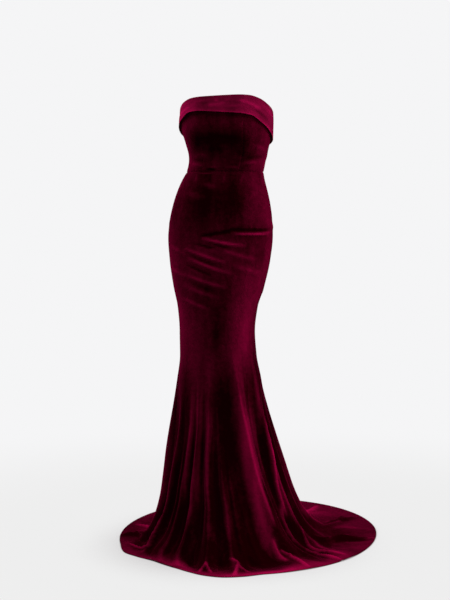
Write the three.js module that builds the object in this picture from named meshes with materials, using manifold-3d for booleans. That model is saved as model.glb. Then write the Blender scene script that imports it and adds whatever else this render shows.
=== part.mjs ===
// Strapless velvet gown, hollow, in the shape that it has when worn: a fitted bodice with princess seams,
// a band folded over the neckline, a waist seam, a skirt that is close to the knee and then flares, and a
// train that lies on the floor. A concealed zip closes the centre back.
// Millimetres, +Z up. The front faces -Y and the wearer's left side is at +X. Heights in the tables are
// above the floor, and the origin is where the wearer's bust holds the gown.
import * as THREE from "three";
import Module from "manifold-3d";

// Driving dimensions
const holdHeight = 1330; // from the floor to the bust line that carries the gown
const waistHeight = 1168;
const clothThickness = 1.6; // velvet with its pile
const bandThickness = 2; // the band is two layers
const seamGap = 0.4; // between two panels at a seam
const layerGap = 0.7; // between the band and the bodice that it lies on
const zipSlit = 2.2; // between the two backs along the zip
const zipSkirtRows = 3; // the zip ends at this row of the skirt's columns, under the fullest hip
const columnStep = 7.5; // degrees between columns of the fitted cloth; the flare has half that
const kneeHeight = 640; // the fine columns start below this height

const wasm = await Module();
wasm.setup();

const toRadians = Math.PI / 180;
const velvet = new THREE.MeshStandardMaterial({ color: 0x4a0a22, roughness: 0.75, metalness: 0 });
const zipTape = new THREE.MeshStandardMaterial({ color: 0x3c0a1e, roughness: 0.6, metalness: 0 });
const zipMetal = new THREE.MeshStandardMaterial({ color: 0x5a1c30, roughness: 0.35, metalness: 0.6 });

// Level sections of the bodice. Each is two half ellipses that share a width: front and back are their
// depths from the side line, square is the power of the outline (2 is an ellipse).
const bodiceRings = [
  { height: 1168, halfWidth: 119.5, front: 84, back: 80, shiftX: 0, shiftY: 0, square: 2.15 },
  { height: 1194, halfWidth: 119, front: 87, back: 80, shiftX: 6, shiftY: 0, square: 2.15 },
  { height: 1226, halfWidth: 123, front: 93, back: 83, shiftX: 10, shiftY: -1, square: 2.15 },
  { height: 1260, halfWidth: 131, front: 101, back: 88, shiftX: 9, shiftY: -2, square: 2.2 },
  { height: 1300, halfWidth: 139, front: 107, back: 94, shiftX: 6, shiftY: -3, square: 2.25 },
  { height: 1345, halfWidth: 142, front: 108, back: 97, shiftX: 6, shiftY: -3, square: 2.3 },
  { height: 1400, halfWidth: 141, front: 104, back: 98, shiftX: 4, shiftY: -2, square: 2.3 },
];

// Level sections of the skirt, from the waist seam to the train's hem. turn is the ring's turn seen from
// above, and sideSwing is how far forward the side seams have moved, because the backs are cut wider.
const skirtRings = [
  { height: 1168, halfWidth: 119.5, front: 84, back: 80, shiftX: 0, shiftY: 0, square: 2.15, turn: 0, sideSwing: 0 },
  { height: 1142, halfWidth: 129, front: 89, back: 87, shiftX: -5, shiftY: 0, square: 2.1, turn: 0, sideSwing: 0 },
  { height: 1110, halfWidth: 140, front: 94, back: 97, shiftX: -8, shiftY: 0, square: 2.1, turn: 0, sideSwing: 0 },
  { height: 1065, halfWidth: 152, front: 100, back: 110, shiftX: -11, shiftY: 1, square: 2.1, turn: 0, sideSwing: 0 },
  { height: 1019, halfWidth: 160, front: 104, back: 119, shiftX: -14, shiftY: 2, square: 2.1, turn: 0, sideSwing: 0 },
  { height: 965, halfWidth: 164, front: 106, back: 123, shiftX: -16, shiftY: 2, square: 2.1, turn: 0, sideSwing: 0 },
  { height: 894, halfWidth: 158, front: 107, back: 118, shiftX: -17, shiftY: 0, square: 2.05, turn: 0, sideSwing: 1 },
  { height: 812, halfWidth: 142, front: 103, back: 105, shiftX: -19, shiftY: -6, square: 2, turn: 0, sideSwing: 3 },
  { height: 746, halfWidth: 124, front: 98, back: 97, shiftX: -21, shiftY: -13, square: 2, turn: 0, sideSwing: 5 },
  { height: 674, halfWidth: 117, front: 94, back: 97, shiftX: -21, shiftY: -18, square: 2, turn: 0, sideSwing: 8 },
  { height: 600, halfWidth: 119, front: 96, back: 106, shiftX: -18, shiftY: -18, square: 2, turn: 0, sideSwing: 12 },
  { height: 524, halfWidth: 130, front: 108, back: 126, shiftX: -14, shiftY: -14, square: 2, turn: 1, sideSwing: 15 },
  { height: 455, halfWidth: 139, front: 122, back: 150, shiftX: -11, shiftY: -10, square: 2, turn: 1, sideSwing: 18 },
  { height: 380, halfWidth: 150, front: 140, back: 184, shiftX: -8, shiftY: -4, square: 2, turn: 2, sideSwing: 20 },
  { height: 299, halfWidth: 163, front: 168, back: 228, shiftX: -5, shiftY: 4, square: 2, turn: 2, sideSwing: 22 },
  { height: 224, halfWidth: 178, front: 198, back: 272, shiftX: -1, shiftY: 12, square: 2, turn: 2, sideSwing: 23 },
  { height: 155, halfWidth: 195, front: 230, back: 320, shiftX: 4, shiftY: 20, square: 2, turn: 3, sideSwing: 24 },
  { height: 96, halfWidth: 216, front: 264, back: 364, shiftX: 8, shiftY: 30, square: 2, turn: 3, sideSwing: 24 },
  { height: 48, halfWidth: 243, front: 302, back: 402, shiftX: 12, shiftY: 44, square: 2, turn: 3, sideSwing: 24 },
  { height: 20, halfWidth: 268, front: 340, back: 432, shiftX: 15, shiftY: 62, square: 2, turn: 3, sideSwing: 24 },
  { height: 6, halfWidth: 288, front: 374, back: 450, shiftX: 18, shiftY: 80, square: 2, turn: 3, sideSwing: 24 },
  { height: 0, halfWidth: 312, front: 418, back: 468, shiftX: 22, shiftY: 104, square: 2, turn: 3, sideSwing: 24 },
  { height: 0, halfWidth: 350, front: 478, back: 490, shiftX: 28, shiftY: 142, square: 2, turn: 3, sideSwing: 24 },
  { height: 0, halfWidth: 384, front: 528, back: 511, shiftX: 34, shiftY: 176, square: 2, turn: 3, sideSwing: 24 },
  { height: 0, halfWidth: 413, front: 564, back: 532, shiftX: 38, shiftY: 202, square: 2, turn: 3, sideSwing: 24 },
];

// Where the neckline and the band's lower edge lie round the body, from the centre front (0) to the
// centre back (180).
const necklineTable = [
  { angle: 0, top: 1396, bandHem: 1347 },
  { angle: 30, top: 1396, bandHem: 1347 },
  { angle: 46, top: 1394, bandHem: 1343 },
  { angle: 60, top: 1385, bandHem: 1324 },
  { angle: 75, top: 1368, bandHem: 1302 },
  { angle: 90, top: 1354, bandHem: 1282 },
  { angle: 104, top: 1342, bandHem: 1269 },
  { angle: 125, top: 1327, bandHem: 1250 },
  { angle: 150, top: 1316, bandHem: 1238 },
  { angle: 180, top: 1312, bandHem: 1232 },
];
const topTilt = 4; // the top edge is this much higher at the wearer's left side
const bandHemTilt = -8; // and the band's lower edge this much lower there

// The shaping of the two cups that the princess seams give the front.
const cup = { x: 74, height: 1296, spreadX: 46, spreadHeight: 48, depth: 11 };

// Folds of the flare. topAngle and footAngle are where the ridge lies on the cloth where it begins and where
// it meets the floor, round from the centre front; top is the height where it begins, width the angle that
// it covers on each side, depth its height over the cloth, floorReach how far it runs out over the train
// (1 is past the hem).
const folds = [
  { topAngle: -46, footAngle: -52, top: 500, width: 9, depth: 16, floorReach: 0.8 },
  { topAngle: -30, footAngle: -34, top: 540, width: 8, depth: 17, floorReach: 0.8 },
  { topAngle: -10, footAngle: -8, top: 600, width: 11, depth: 22, floorReach: 1 },
  { topAngle: 10, footAngle: 14, top: 470, width: 9, depth: 15, floorReach: 0.9 },
  { topAngle: 46, footAngle: 62, top: 700, width: 19, depth: 34, floorReach: 1.15 },
  { topAngle: 84, footAngle: 92, top: 600, width: 11, depth: 28, floorReach: 1.3 },
  { topAngle: 105, footAngle: 114, top: 520, width: 12, depth: 22, floorReach: 0.8 },
  { topAngle: 127, footAngle: 137, top: 560, width: 14, depth: 28, floorReach: 1.2 },
  { topAngle: 150, footAngle: 161, top: 600, width: 15, depth: 26, floorReach: 1 },
  { topAngle: 172, footAngle: 180, top: 620, width: 14, depth: 28, floorReach: 0.8 },
  { topAngle: -164, footAngle: -160, top: 560, width: 14, depth: 26, floorReach: 0.9 },
  { topAngle: -142, footAngle: -140, top: 610, width: 15, depth: 28, floorReach: 0.6 },
  { topAngle: -120, footAngle: -119, top: 540, width: 12, depth: 24, floorReach: 1.1 },
  { topAngle: -97, footAngle: -98, top: 600, width: 12, depth: 28, floorReach: 1.2 },
  { topAngle: -72, footAngle: -76, top: 520, width: 9, depth: 20, floorReach: 0.7 },
];
const foldGrowth = 330; // a fold reaches its whole depth this far below its top
const valleyShare = 0.9; // the cloth between folds lies in by this share of the folds' mean depth
const floorBend = 20; // degrees by which the folds at the sides bend forward between floor and hem

// How far the hem departs from its ellipse, outward, round from the centre front.
const hemTable = [
  { angle: -180, out: 0 },
  { angle: -60, out: 0 },
  { angle: -46, out: 7 },
  { angle: -37, out: -11 },
  { angle: -27, out: -31 },
  { angle: -17, out: -25 },
  { angle: -11, out: -10 },
  { angle: -5, out: 9 },
  { angle: 0, out: 16 },
  { angle: 6, out: 6 },
  { angle: 13, out: -12 },
  { angle: 22, out: -10 },
  { angle: 35, out: -5 },
  { angle: 55, out: 0 },
  { angle: 180, out: 0 },
];

// A smooth curve through a table's column that never overshoots its rows.
function columnCurve(rows, along, column) {
  const x = rows.map((row) => row[along]);
  const y = rows.map((row) => row[column]);
  const slope = x.slice(1).map((end, i) => (y[i + 1] - y[i]) / (end - x[i]));
  const tangent = y.map((_, i) => {
    if (i === 0 || i === y.length - 1) return slope[Math.min(i, slope.length - 1)];
    const before = slope[i - 1];
    const after = slope[i];
    if (before * after <= 0) return 0;
    const spanBefore = x[i] - x[i - 1];
    const spanAfter = x[i + 1] - x[i];
    const weightBefore = 2 * spanAfter + spanBefore;
    const weightAfter = spanAfter + 2 * spanBefore;
    return (weightBefore + weightAfter) / (weightBefore / before + weightAfter / after);
  });
  return (at) => {
    const clamped = Math.min(Math.max(at, x[0]), x[x.length - 1]);
    let i = 0;
    while (i < x.length - 2 && clamped > x[i + 1]) i += 1;
    const span = x[i + 1] - x[i];
    const t = (clamped - x[i]) / span;
    const rise = t * t * (3 - 2 * t);
    const startPull = t * (1 - t) * (1 - t) * span;
    const endPull = -t * t * (1 - t) * span;
    return y[i] + (y[i + 1] - y[i]) * rise + startPull * tangent[i] + endPull * tangent[i + 1];
  };
}

// All the columns of a table as one function that gives an interpolated row.
function tableCurve(rows, along) {
  const columns = Object.keys(rows[0]).filter((name) => name !== along);
  const curves = columns.map((name) => columnCurve(rows, along, name));
  return (at) => Object.fromEntries(columns.map((name, i) => [name, curves[i](at)]));
}

// Adds to each skirt ring the distance down the side from the waist, along the cloth.
function withDistanceDown(rows) {
  let down = 0;
  return rows.map((row, i) => {
    if (i > 0) down += Math.hypot(row.height - rows[i - 1].height, row.halfWidth - rows[i - 1].halfWidth);
    return { ...row, down };
  });
}

const skirtTable = withDistanceDown(skirtRings);
const skirtLength = skirtTable[skirtTable.length - 1].down;
const bodiceRing = tableCurve(bodiceRings, "height");
const skirtRing = tableCurve(skirtTable, "down");
const neckline = tableCurve(necklineTable, "angle");
const hemOut = columnCurve(hemTable, "angle", "out");

// The distance down the skirt's side at which it has a given height.
function downAtHeight(height) {
  const below = skirtTable.findIndex((row) => row.height <= height);
  const [upper, lower] = [skirtTable[below - 1], skirtTable[below]];
  const share = (upper.height - height) / (upper.height - lower.height);
  return upper.down + share * (lower.down - upper.down);
}

const smoothStep = (t) => {
  const clamped = Math.min(Math.max(t, 0), 1);
  return clamped * clamped * (3 - 2 * clamped);
};

// The point of a ring at an angle round it from the centre front.
function ringPoint(ring, angle, height) {
  const side = Math.sin(angle * toRadians);
  const front = Math.cos(angle * toRadians);
  const depth = front > 0 ? ring.front : ring.back;
  const outline = Math.abs(side / ring.halfWidth) ** ring.square + Math.abs(front / depth) ** ring.square;
  const radius = outline ** (-1 / ring.square);
  const turn = (ring.turn ?? 0) * toRadians;
  const x = radius * side;
  const y = -radius * front;
  return new THREE.Vector3(
    x * Math.cos(turn) - y * Math.sin(turn) + ring.shiftX,
    x * Math.sin(turn) + y * Math.cos(turn) + ring.shiftY,
    height,
  );
}

// The inner face of the bodice: the rings, with the cups pushed forward.
function bodicePoint(angle, height) {
  const point = ringPoint(bodiceRing(height), angle, height);
  const facingFront = smoothStep(Math.cos(angle * toRadians) / 0.5);
  const fromCup = (Math.abs(point.x) - cup.x) / cup.spreadX;
  const fromLevel = (height - cup.height) / cup.spreadHeight;
  point.y -= cup.depth * facingFront * Math.exp(-fromCup * fromCup - fromLevel * fromLevel);
  return point;
}

// Where the skirt lies on the floor, from the foot of the flare (0) to the hem (1).
const floorStart = downAtHeight(20);
const floorShare = (down) => Math.min(Math.max((down - floorStart) / (skirtLength - floorStart), 0), 1);
const wrapAngle = (angle) => ((((angle + 180) % 360) + 360) % 360) - 180;

// The skirt's inner face without its folds.
function plainSkirtPoint(angle, down) {
  const ring = skirtRing(down);
  const swung = angle - ring.sideSwing * Math.sin(angle * toRadians);
  const out = hemOut(wrapAngle(swung)) * floorShare(down) ** 2;
  ring.halfWidth += out;
  ring.front += out;
  ring.back += out;
  return ringPoint(ring, swung, ring.height);
}

// The unit normal of a surface that is given by an angle round the body and a distance down or up it.
function surfaceNormal(surface, angle, along, downwards) {
  const angleStep = 0.4;
  const alongStep = 1.5;
  const round = surface(angle + angleStep, along).sub(surface(angle - angleStep, along));
  const down = surface(angle, along + alongStep * downwards).sub(surface(angle, along - alongStep * downwards));
  return down.cross(round).normalize();
}

// How far the folds lift the cloth at a point: out at the ridges, in between them where the skirt hangs,
// and only up from the floor where it lies.
function foldLift(angle, down) {
  const hanging = smoothStep(skirtRing(down).height / 90);
  const onFloor = floorShare(down);
  let lift = 0;
  let meanDepth = 0;
  for (const fold of folds) {
    const start = downAtHeight(fold.top);
    const grown = smoothStep((down - start) / foldGrowth);
    const share = smoothStep((down - start) / (floorStart - start));
    const bent = floorBend * Math.sin(fold.footAngle * toRadians) * onFloor;
    const centre = fold.topAngle + (fold.footAngle - fold.topAngle) * share - bent;
    const away = Math.min(Math.abs(wrapAngle(angle - centre)) / fold.width, 1);
    const ridge = Math.cos(away * Math.PI * 0.5) ** 2;
    const fading = 1 - smoothStep(onFloor / fold.floorReach);
    lift += fold.depth * grown * fading * ridge * (0.6 + 0.4 * hanging);
    meanDepth += (fold.depth * grown * fold.width) / 360;
  }
  return lift - valleyShare * meanDepth * hanging;
}

// The skirt's inner face.
function skirtPoint(angle, down) {
  const point = plainSkirtPoint(angle, down);
  const normal = surfaceNormal(plainSkirtPoint, angle, Math.min(down, skirtLength - 2), 1);
  point.addScaledVector(normal, foldLift(angle, down));
  point.z = Math.max(point.z, 0);
  return point;
}

// A closed wall from rows of { inner, outer } points. Rows run from the panel's one side to the other, in
// the direction of a growing angle, and follow each other down the outside. A row may have the same number
// of points as the row before it, or one more between each two.
function wallGeometry(rows) {
  const positions = [];
  const triangles = [];
  const starts = rows.map((row) => {
    const start = positions.length / 3;
    row.forEach(({ inner, outer }) => positions.push(...outer.toArray(), ...inner.toArray()));
    return start;
  });
  const outer = (i, j) => starts[i] + 2 * j;
  const inner = (i, j) => starts[i] + 2 * j + 1;
  const bothFaces = (a, b, c) => {
    triangles.push(outer(...a), outer(...b), outer(...c));
    triangles.push(inner(...c), inner(...b), inner(...a));
  };
  const quad = (a, b, c, d) => triangles.push(a, b, c, a, c, d);
  for (let i = 0; i + 1 < rows.length; i += 1) {
    const doubled = rows[i + 1].length > rows[i].length;
    for (let j = 0; j + 1 < rows[i].length; j += 1) {
      if (doubled) {
        bothFaces([i, j], [i + 1, 2 * j], [i + 1, 2 * j + 1]);
        bothFaces([i, j], [i + 1, 2 * j + 1], [i, j + 1]);
        bothFaces([i, j + 1], [i + 1, 2 * j + 1], [i + 1, 2 * j + 2]);
      } else {
        bothFaces([i, j], [i + 1, j], [i + 1, j + 1]);
        bothFaces([i, j], [i + 1, j + 1], [i, j + 1]);
      }
    }
    const last = rows[i].length - 1;
    const nextLast = rows[i + 1].length - 1;
    quad(outer(i, 0), inner(i, 0), inner(i + 1, 0), outer(i + 1, 0));
    quad(outer(i, last), outer(i + 1, nextLast), inner(i + 1, nextLast), inner(i, last));
  }
  const bottom = rows.length - 1;
  for (let j = 0; j + 1 < rows[0].length; j += 1) {
    quad(outer(0, j), outer(0, j + 1), inner(0, j + 1), inner(0, j));
  }
  for (let j = 0; j + 1 < rows[bottom].length; j += 1) {
    quad(outer(bottom, j + 1), outer(bottom, j), inner(bottom, j), inner(bottom, j + 1));
  }
  const geometry = new THREE.BufferGeometry();
  geometry.setAttribute("position", new THREE.Float32BufferAttribute(positions, 3));
  geometry.setIndex(triangles);
  return geometry;
}

// The angles of a panel's columns, where side trims the first and last of them by half a seam gap.
function panelAngles(from, to, step) {
  const count = Math.round((to - from) / step);
  return Array.from({ length: count + 1 }, (_, j) => from + ((to - from) * j) / count);
}

// Moves the angles at a panel's two sides in by half the gap that its seam has there.
function trimmed(angles, surface, along, gapFrom, gapTo) {
  const inset = (angle, gap) => {
    const width = surface(angle + 0.5, along).distanceTo(surface(angle - 0.5, along));
    return gap / 2 / width;
  };
  const last = angles.length - 1;
  return angles.map((angle, j) => {
    if (j === 0) return angle + inset(angle, gapFrom);
    if (j === last) return angle - inset(angle, gapTo);
    return angle;
  });
}

function wallPoint(point, normal, thickness) {
  return { inner: point, outer: point.clone().addScaledVector(normal, thickness) };
}

// The neckline's height and the band's lower edge at an angle.
function necklineAt(angle) {
  const { top, bandHem } = neckline(Math.abs(wrapAngle(angle)));
  const left = Math.sin(angle * toRadians);
  return { top: top + topTilt * left, bandHem: bandHem + bandHemTilt * left };
}

const level = (normal) => normal.setZ(0).normalize();

// One bodice panel between two seams, from the neckline down to the waist.
const bodiceRows = 9;
function bodicePanel(from, to, gapFrom, gapTo) {
  const angles = panelAngles(from, to, columnStep);
  const rows = [];
  for (let i = 0; i <= bodiceRows; i += 1) {
    const share = 1 - i / bodiceRows;
    const bottom = waistHeight + seamGap / 2;
    const trimmedAngles = trimmed(angles, bodicePoint, bottom + share * 150, gapFrom, gapTo);
    rows.push(
      trimmedAngles.map((angle) => {
        const height = bottom + share * (necklineAt(angle).top - bottom);
        const normal = surfaceNormal(bodicePoint, angle, height, -1);
        return wallPoint(bodicePoint(angle, height), level(normal), clothThickness);
      }),
    );
  }
  return wallGeometry(rows);
}

// Distances down the skirt at which its rows lie: even on the fitted part, closer where it meets the floor.
const fittedRows = 9;
const hangingRows = 8;
const breakRows = 6;
const floorRows = 5;
function skirtDistances() {
  const stops = [
    { down: seamGap / 2, rows: fittedRows },
    { down: downAtHeight(kneeHeight), rows: hangingRows },
    { down: downAtHeight(155), rows: breakRows },
    { down: floorStart, rows: floorRows },
    { down: skirtLength, rows: 0 },
  ];
  return stops.flatMap((stop, i) =>
    i === stops.length - 1
      ? [stop.down]
      : Array.from({ length: stop.rows }, (_, k) => stop.down + ((stops[i + 1].down - stop.down) * k) / stop.rows),
  );
}

// The slit at the centre back closes to a plain seam below the zip.
function backGap(down) {
  const closing = smoothStep((down - skirtDistances()[zipSkirtRows]) / 20);
  return zipSlit + (seamGap - zipSlit) * closing;
}

function skirtPanel(from, to, gapFromAt, gapToAt) {
  const kneeDown = downAtHeight(kneeHeight);
  const rows = skirtDistances().map((down, i) => {
    const step = down < kneeDown + 1 ? columnStep : columnStep / 2;
    const angles = trimmed(panelAngles(from, to, step), skirtPoint, down, gapFromAt(down), gapToAt(down));
    return angles.map((angle) => {
      const normal = surfaceNormal(skirtPoint, angle, Math.min(down, skirtLength - 2), 1);
      if (i === 0) level(normal);
      return wallPoint(skirtPoint(angle, down), normal, clothThickness);
    });
  });
  return wallGeometry(rows);
}

// The band's path over the top edge, as offsets from the bodice's inner face and heights from the top edge
// (or, for the outside, shares of the way down to the band's lower edge). Its lower edge stands off.
const bandTuck = 12; // how far the band reaches down inside
const bandPath = [
  { offset: -layerGap, rise: -bandTuck },
  { offset: -layerGap, rise: 0.3 },
  { offset: clothThickness / 2, rise: 1.1 },
  { offset: clothThickness + layerGap, rise: 0.3 },
  { share: 0.2, standOff: 0.9 },
  { share: 0.4, standOff: 2 },
  { share: 0.6, standOff: 3.3 },
  { share: 0.8, standOff: 4.7 },
  { share: 1, standOff: 6 },
];

// The band lies close to the bodice at the zip, where it is caught in the seam.
const standOffAt = (angle) => 1 - 0.8 * smoothStep((Math.abs(wrapAngle(angle)) - 140) / 36);

function bandPanel(from, to, gapFrom, gapTo) {
  const angles = panelAngles(from, to, columnStep);
  const trimmedAngles = trimmed(angles, bodicePoint, 1310, gapFrom, gapTo);
  const columns = trimmedAngles.map((angle) => {
    const { top, bandHem } = necklineAt(angle);
    const outward = level(surfaceNormal(bodicePoint, angle, top - 4, -1));
    const flat = bandPath.map((step) => {
      if (step.share === undefined) return { offset: step.offset, height: top + step.rise };
      const standOff = step.standOff * standOffAt(angle);
      return { offset: clothThickness + layerGap + standOff, height: top + (bandHem - top) * step.share };
    });
    const place = ({ offset, height }) => {
      const under = bodicePoint(angle, Math.min(height, top));
      return under.setZ(height).addScaledVector(outward, offset);
    };
    return flat.map((here, i) => {
      const before = flat[Math.max(i - 1, 0)];
      const after = flat[Math.min(i + 1, flat.length - 1)];
      const run = after.offset - before.offset;
      const rise = after.height - before.height;
      const length = Math.hypot(run, rise);
      const away = {
        offset: here.offset + (-rise / length) * bandThickness,
        height: here.height + (run / length) * bandThickness,
      };
      const outerPoint = bodicePoint(angle, Math.min(here.height, top));
      outerPoint.setZ(away.height).addScaledVector(outward, away.offset);
      return { inner: place(here), outer: outerPoint };
    });
  });
  return wallGeometry(bandPath.map((_, i) => columns.map((column) => column[i])));
}

// The zip's chain and tapes: a strip along the inside of the centre back, from under the slider to its end.
// It follows the walls' own rows, so that it keeps its distance from them.
const chain = { halfWidth: 11, thickness: 1.2, gap: 0.9, firstRow: 2 };
function zipChain() {
  const { top } = necklineAt(180);
  const bottom = waistHeight + seamGap / 2;
  const bodiceLevels = Array.from({ length: bodiceRows + 1 }, (_, i) => top + ((bottom - top) * i) / bodiceRows);
  const skirtLevels = skirtDistances().slice(1, zipSkirtRows + 1);
  const strip = (surface, along, downwards) =>
    [1, 0.5, 0, -0.5, -1].map((share) => {
      const width = surface(180.5, along).distanceTo(surface(179.5, along));
      const angle = 180 - (share * chain.halfWidth) / width;
      const normal = level(surfaceNormal(surface, angle, along, downwards));
      const face = surface(angle, along).addScaledVector(normal, -chain.gap);
      return { outer: face, inner: face.clone().addScaledVector(normal, -chain.thickness) };
    });
  const rows = [
    ...bodiceLevels.slice(chain.firstRow).map((height) => strip(bodicePoint, height, -1)),
    ...skirtLevels.map((down) => strip(skirtPoint, down, 1)),
  ];
  return wallGeometry(rows);
}

// The slider: a body inside the gown, a thin bridge through the slit, and a lug with an eye outside.
const slider = { width: 9, height: 10, depth: 3.2, bridge: 1.2, eyeRadius: 1.3, lugRadius: 2.7 };
const pull = { pinRadius: 0.9, earWidth: 1.6, thickness: 1.2, forkReach: 3.4, length: 25, halfWidth: 4.2 };
const pullClearance = 0.4; // on each side of the lug

// A shape extruded along X and centred on it. The shape's own x is the gown's +Y and its y is +Z.
function extrudedAlongX(shape, width, curveSegments) {
  const geometry = new THREE.ExtrudeGeometry(shape, { depth: width, bevelEnabled: false, curveSegments });
  geometry.translate(0, 0, -width / 2);
  geometry.rotateX(Math.PI / 2);
  geometry.rotateZ(Math.PI / 2);
  return geometry;
}

// A geometry as a solid for joining and cutting.
function solidOf(geometry) {
  const plain = geometry.index ? geometry.toNonIndexed() : geometry;
  const points = plain.getAttribute("position");
  const seen = new Map();
  const vertices = [];
  const triangles = [];
  for (let i = 0; i < points.count; i += 1) {
    const point = [points.getX(i), points.getY(i), points.getZ(i)];
    const key = point.map((value) => value.toFixed(4)).join();
    if (!seen.has(key)) {
      seen.set(key, vertices.length / 3);
      vertices.push(...point);
    }
    triangles.push(seen.get(key));
  }
  const mesh = new wasm.Mesh({
    numProp: 3,
    vertProperties: new Float32Array(vertices),
    triVerts: new Uint32Array(triangles),
  });
  return new wasm.Manifold(mesh);
}

function geometryOf(solid) {
  const mesh = solid.getMesh();
  const geometry = new THREE.BufferGeometry();
  geometry.setAttribute("position", new THREE.Float32BufferAttribute(mesh.vertProperties, 3));
  geometry.setIndex(new THREE.BufferAttribute(mesh.triVerts, 1));
  return geometry;
}

// Where the slider sits on the centre back: the pull's pin is the joint's axis.
const sliderHeight = necklineAt(180).top - 20;
const { x: slitX, y: backFace } = bodicePoint(180, sliderHeight);
const bandFace = bodicePoint(180, necklineAt(180).top).y + clothThickness + layerGap + bandThickness;
const pinY = bandFace + slider.lugRadius + 0.8;
const pinHeight = sliderHeight + 1;

function sliderGeometry() {
  const body = new THREE.BoxGeometry(slider.width, slider.depth, slider.height);
  body.translate(0, backFace - layerGap - slider.depth / 2 - 0.6, sliderHeight);
  const bridgeStart = backFace - layerGap - slider.depth;
  const bridgeShape = new THREE.Shape();
  bridgeShape.moveTo(bridgeStart, sliderHeight - 2.2);
  bridgeShape.lineTo(pinY, pinHeight - slider.lugRadius * 0.7);
  bridgeShape.lineTo(pinY, pinHeight + slider.lugRadius * 0.7);
  bridgeShape.lineTo(bridgeStart, sliderHeight + 3.4);
  const bridge = extrudedAlongX(bridgeShape, slider.bridge, 4);
  const lugShape = new THREE.Shape();
  lugShape.absarc(pinY, pinHeight, slider.lugRadius, 0, 2 * Math.PI);
  const lug = extrudedAlongX(lugShape, slider.bridge, 20);
  const eyeShape = new THREE.Shape();
  eyeShape.absarc(pinY, pinHeight, slider.eyeRadius, 0, 2 * Math.PI);
  const eye = extrudedAlongX(eyeShape, slider.bridge * 4, 16);
  const whole = solidOf(body).add(solidOf(bridge)).add(solidOf(lug)).subtract(solidOf(eye));
  return geometryOf(whole).translate(slitX, 0, 0);
}

// The pull tab: a teardrop plate that hangs from a pin through the slider's eye, forked round the lug.
function pullGeometry() {
  const forkHalf = slider.bridge / 2 + pullClearance;
  const earHalf = forkHalf + pull.earWidth;
  const plate = new THREE.Shape();
  plate.moveTo(-earHalf, 0);
  plate.lineTo(-earHalf, -pull.forkReach - 1.5);
  plate.bezierCurveTo(-earHalf, -9, -pull.halfWidth, -13, -pull.halfWidth, -pull.length + pull.halfWidth);
  plate.absarc(0, -pull.length + pull.halfWidth, pull.halfWidth, Math.PI, 2 * Math.PI);
  plate.bezierCurveTo(pull.halfWidth, -13, earHalf, -9, earHalf, -pull.forkReach - 1.5);
  plate.lineTo(earHalf, 0);
  plate.lineTo(forkHalf, 0);
  plate.lineTo(forkHalf, -pull.forkReach);
  plate.lineTo(-forkHalf, -pull.forkReach);
  plate.lineTo(-forkHalf, 0);
  const sheet = new THREE.ExtrudeGeometry(plate, { depth: pull.thickness, bevelEnabled: false, curveSegments: 10 });
  sheet.translate(0, 0, -pull.thickness / 2);
  sheet.rotateX(Math.PI / 2);
  const pinShape = new THREE.Shape();
  pinShape.absarc(0, 0, pull.pinRadius, 0, 2 * Math.PI);
  const pin = extrudedAlongX(pinShape, 2 * earHalf, 16);
  const whole = solidOf(sheet).add(solidOf(pin));
  return geometryOf(whole).translate(slitX, pinY, pinHeight);
}

function meshOf(name, geometry, material) {
  const mesh = new THREE.Mesh(geometry, material);
  mesh.name = name;
  return mesh;
}

const plainSeam = () => seamGap;
const princess = 37.5; // the angle of the princess seams from the centre front
const sideSeam = 90;

const gown = new THREE.Group();
gown.add(
  meshOf("bodice_front_centre", bodicePanel(-princess, princess, seamGap, seamGap), velvet),
  meshOf("bodice_front_left", bodicePanel(princess, sideSeam, seamGap, seamGap), velvet),
  meshOf("bodice_front_right", bodicePanel(-sideSeam, -princess, seamGap, seamGap), velvet),
  meshOf("bodice_back_left", bodicePanel(sideSeam, 180, seamGap, zipSlit), velvet),
  meshOf("bodice_back_right", bodicePanel(180, 270, zipSlit, seamGap), velvet),
  meshOf("band_front", bandPanel(-sideSeam, sideSeam, seamGap, seamGap), velvet),
  meshOf("band_back_left", bandPanel(sideSeam, 180, seamGap, zipSlit), velvet),
  meshOf("band_back_right", bandPanel(180, 270, zipSlit, seamGap), velvet),
  meshOf("skirt_front", skirtPanel(-sideSeam, sideSeam, plainSeam, plainSeam), velvet),
  meshOf("skirt_back_left", skirtPanel(sideSeam, 180, plainSeam, backGap), velvet),
  meshOf("skirt_back_right", skirtPanel(180, 270, backGap, plainSeam), velvet),
  meshOf("zip_chain", zipChain(), zipTape),
  meshOf("zip_slider", sliderGeometry(), zipMetal),
  meshOf("zip_pull", pullGeometry(), zipMetal),
);
gown.position.z = -holdHeight;

export default gown;
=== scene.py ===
import math

import bmesh
import bpy
import numpy as np
from mathutils import Matrix, Vector


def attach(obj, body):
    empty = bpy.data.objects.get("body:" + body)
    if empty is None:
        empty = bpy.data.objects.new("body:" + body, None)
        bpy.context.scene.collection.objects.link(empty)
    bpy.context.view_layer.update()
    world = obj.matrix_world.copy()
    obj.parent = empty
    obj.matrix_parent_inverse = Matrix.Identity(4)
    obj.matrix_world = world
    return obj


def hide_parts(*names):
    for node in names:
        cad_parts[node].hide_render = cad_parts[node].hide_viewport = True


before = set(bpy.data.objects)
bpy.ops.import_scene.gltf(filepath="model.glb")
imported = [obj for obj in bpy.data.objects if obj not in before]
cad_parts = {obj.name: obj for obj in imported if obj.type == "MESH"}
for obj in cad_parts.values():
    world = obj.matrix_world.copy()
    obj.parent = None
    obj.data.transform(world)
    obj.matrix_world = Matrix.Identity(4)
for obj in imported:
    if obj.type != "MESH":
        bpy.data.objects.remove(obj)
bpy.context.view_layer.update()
scene = bpy.context.scene
print("frame loaded")

# Everything below is in millimetres above the floor until meshFrom turns it into metres in the row frame.
mm = 0.001
holdHeight = 1330.0
waistHeight = 1168.0
clothThickness = 1.6
layerGap = 0.7
zipSlit = 0.6  # a concealed zip closes the slit, apart from where its slider passes through
sliderSlit = {"height": 1293.0, "reach": 10.0, "wider": 1.5}


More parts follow.
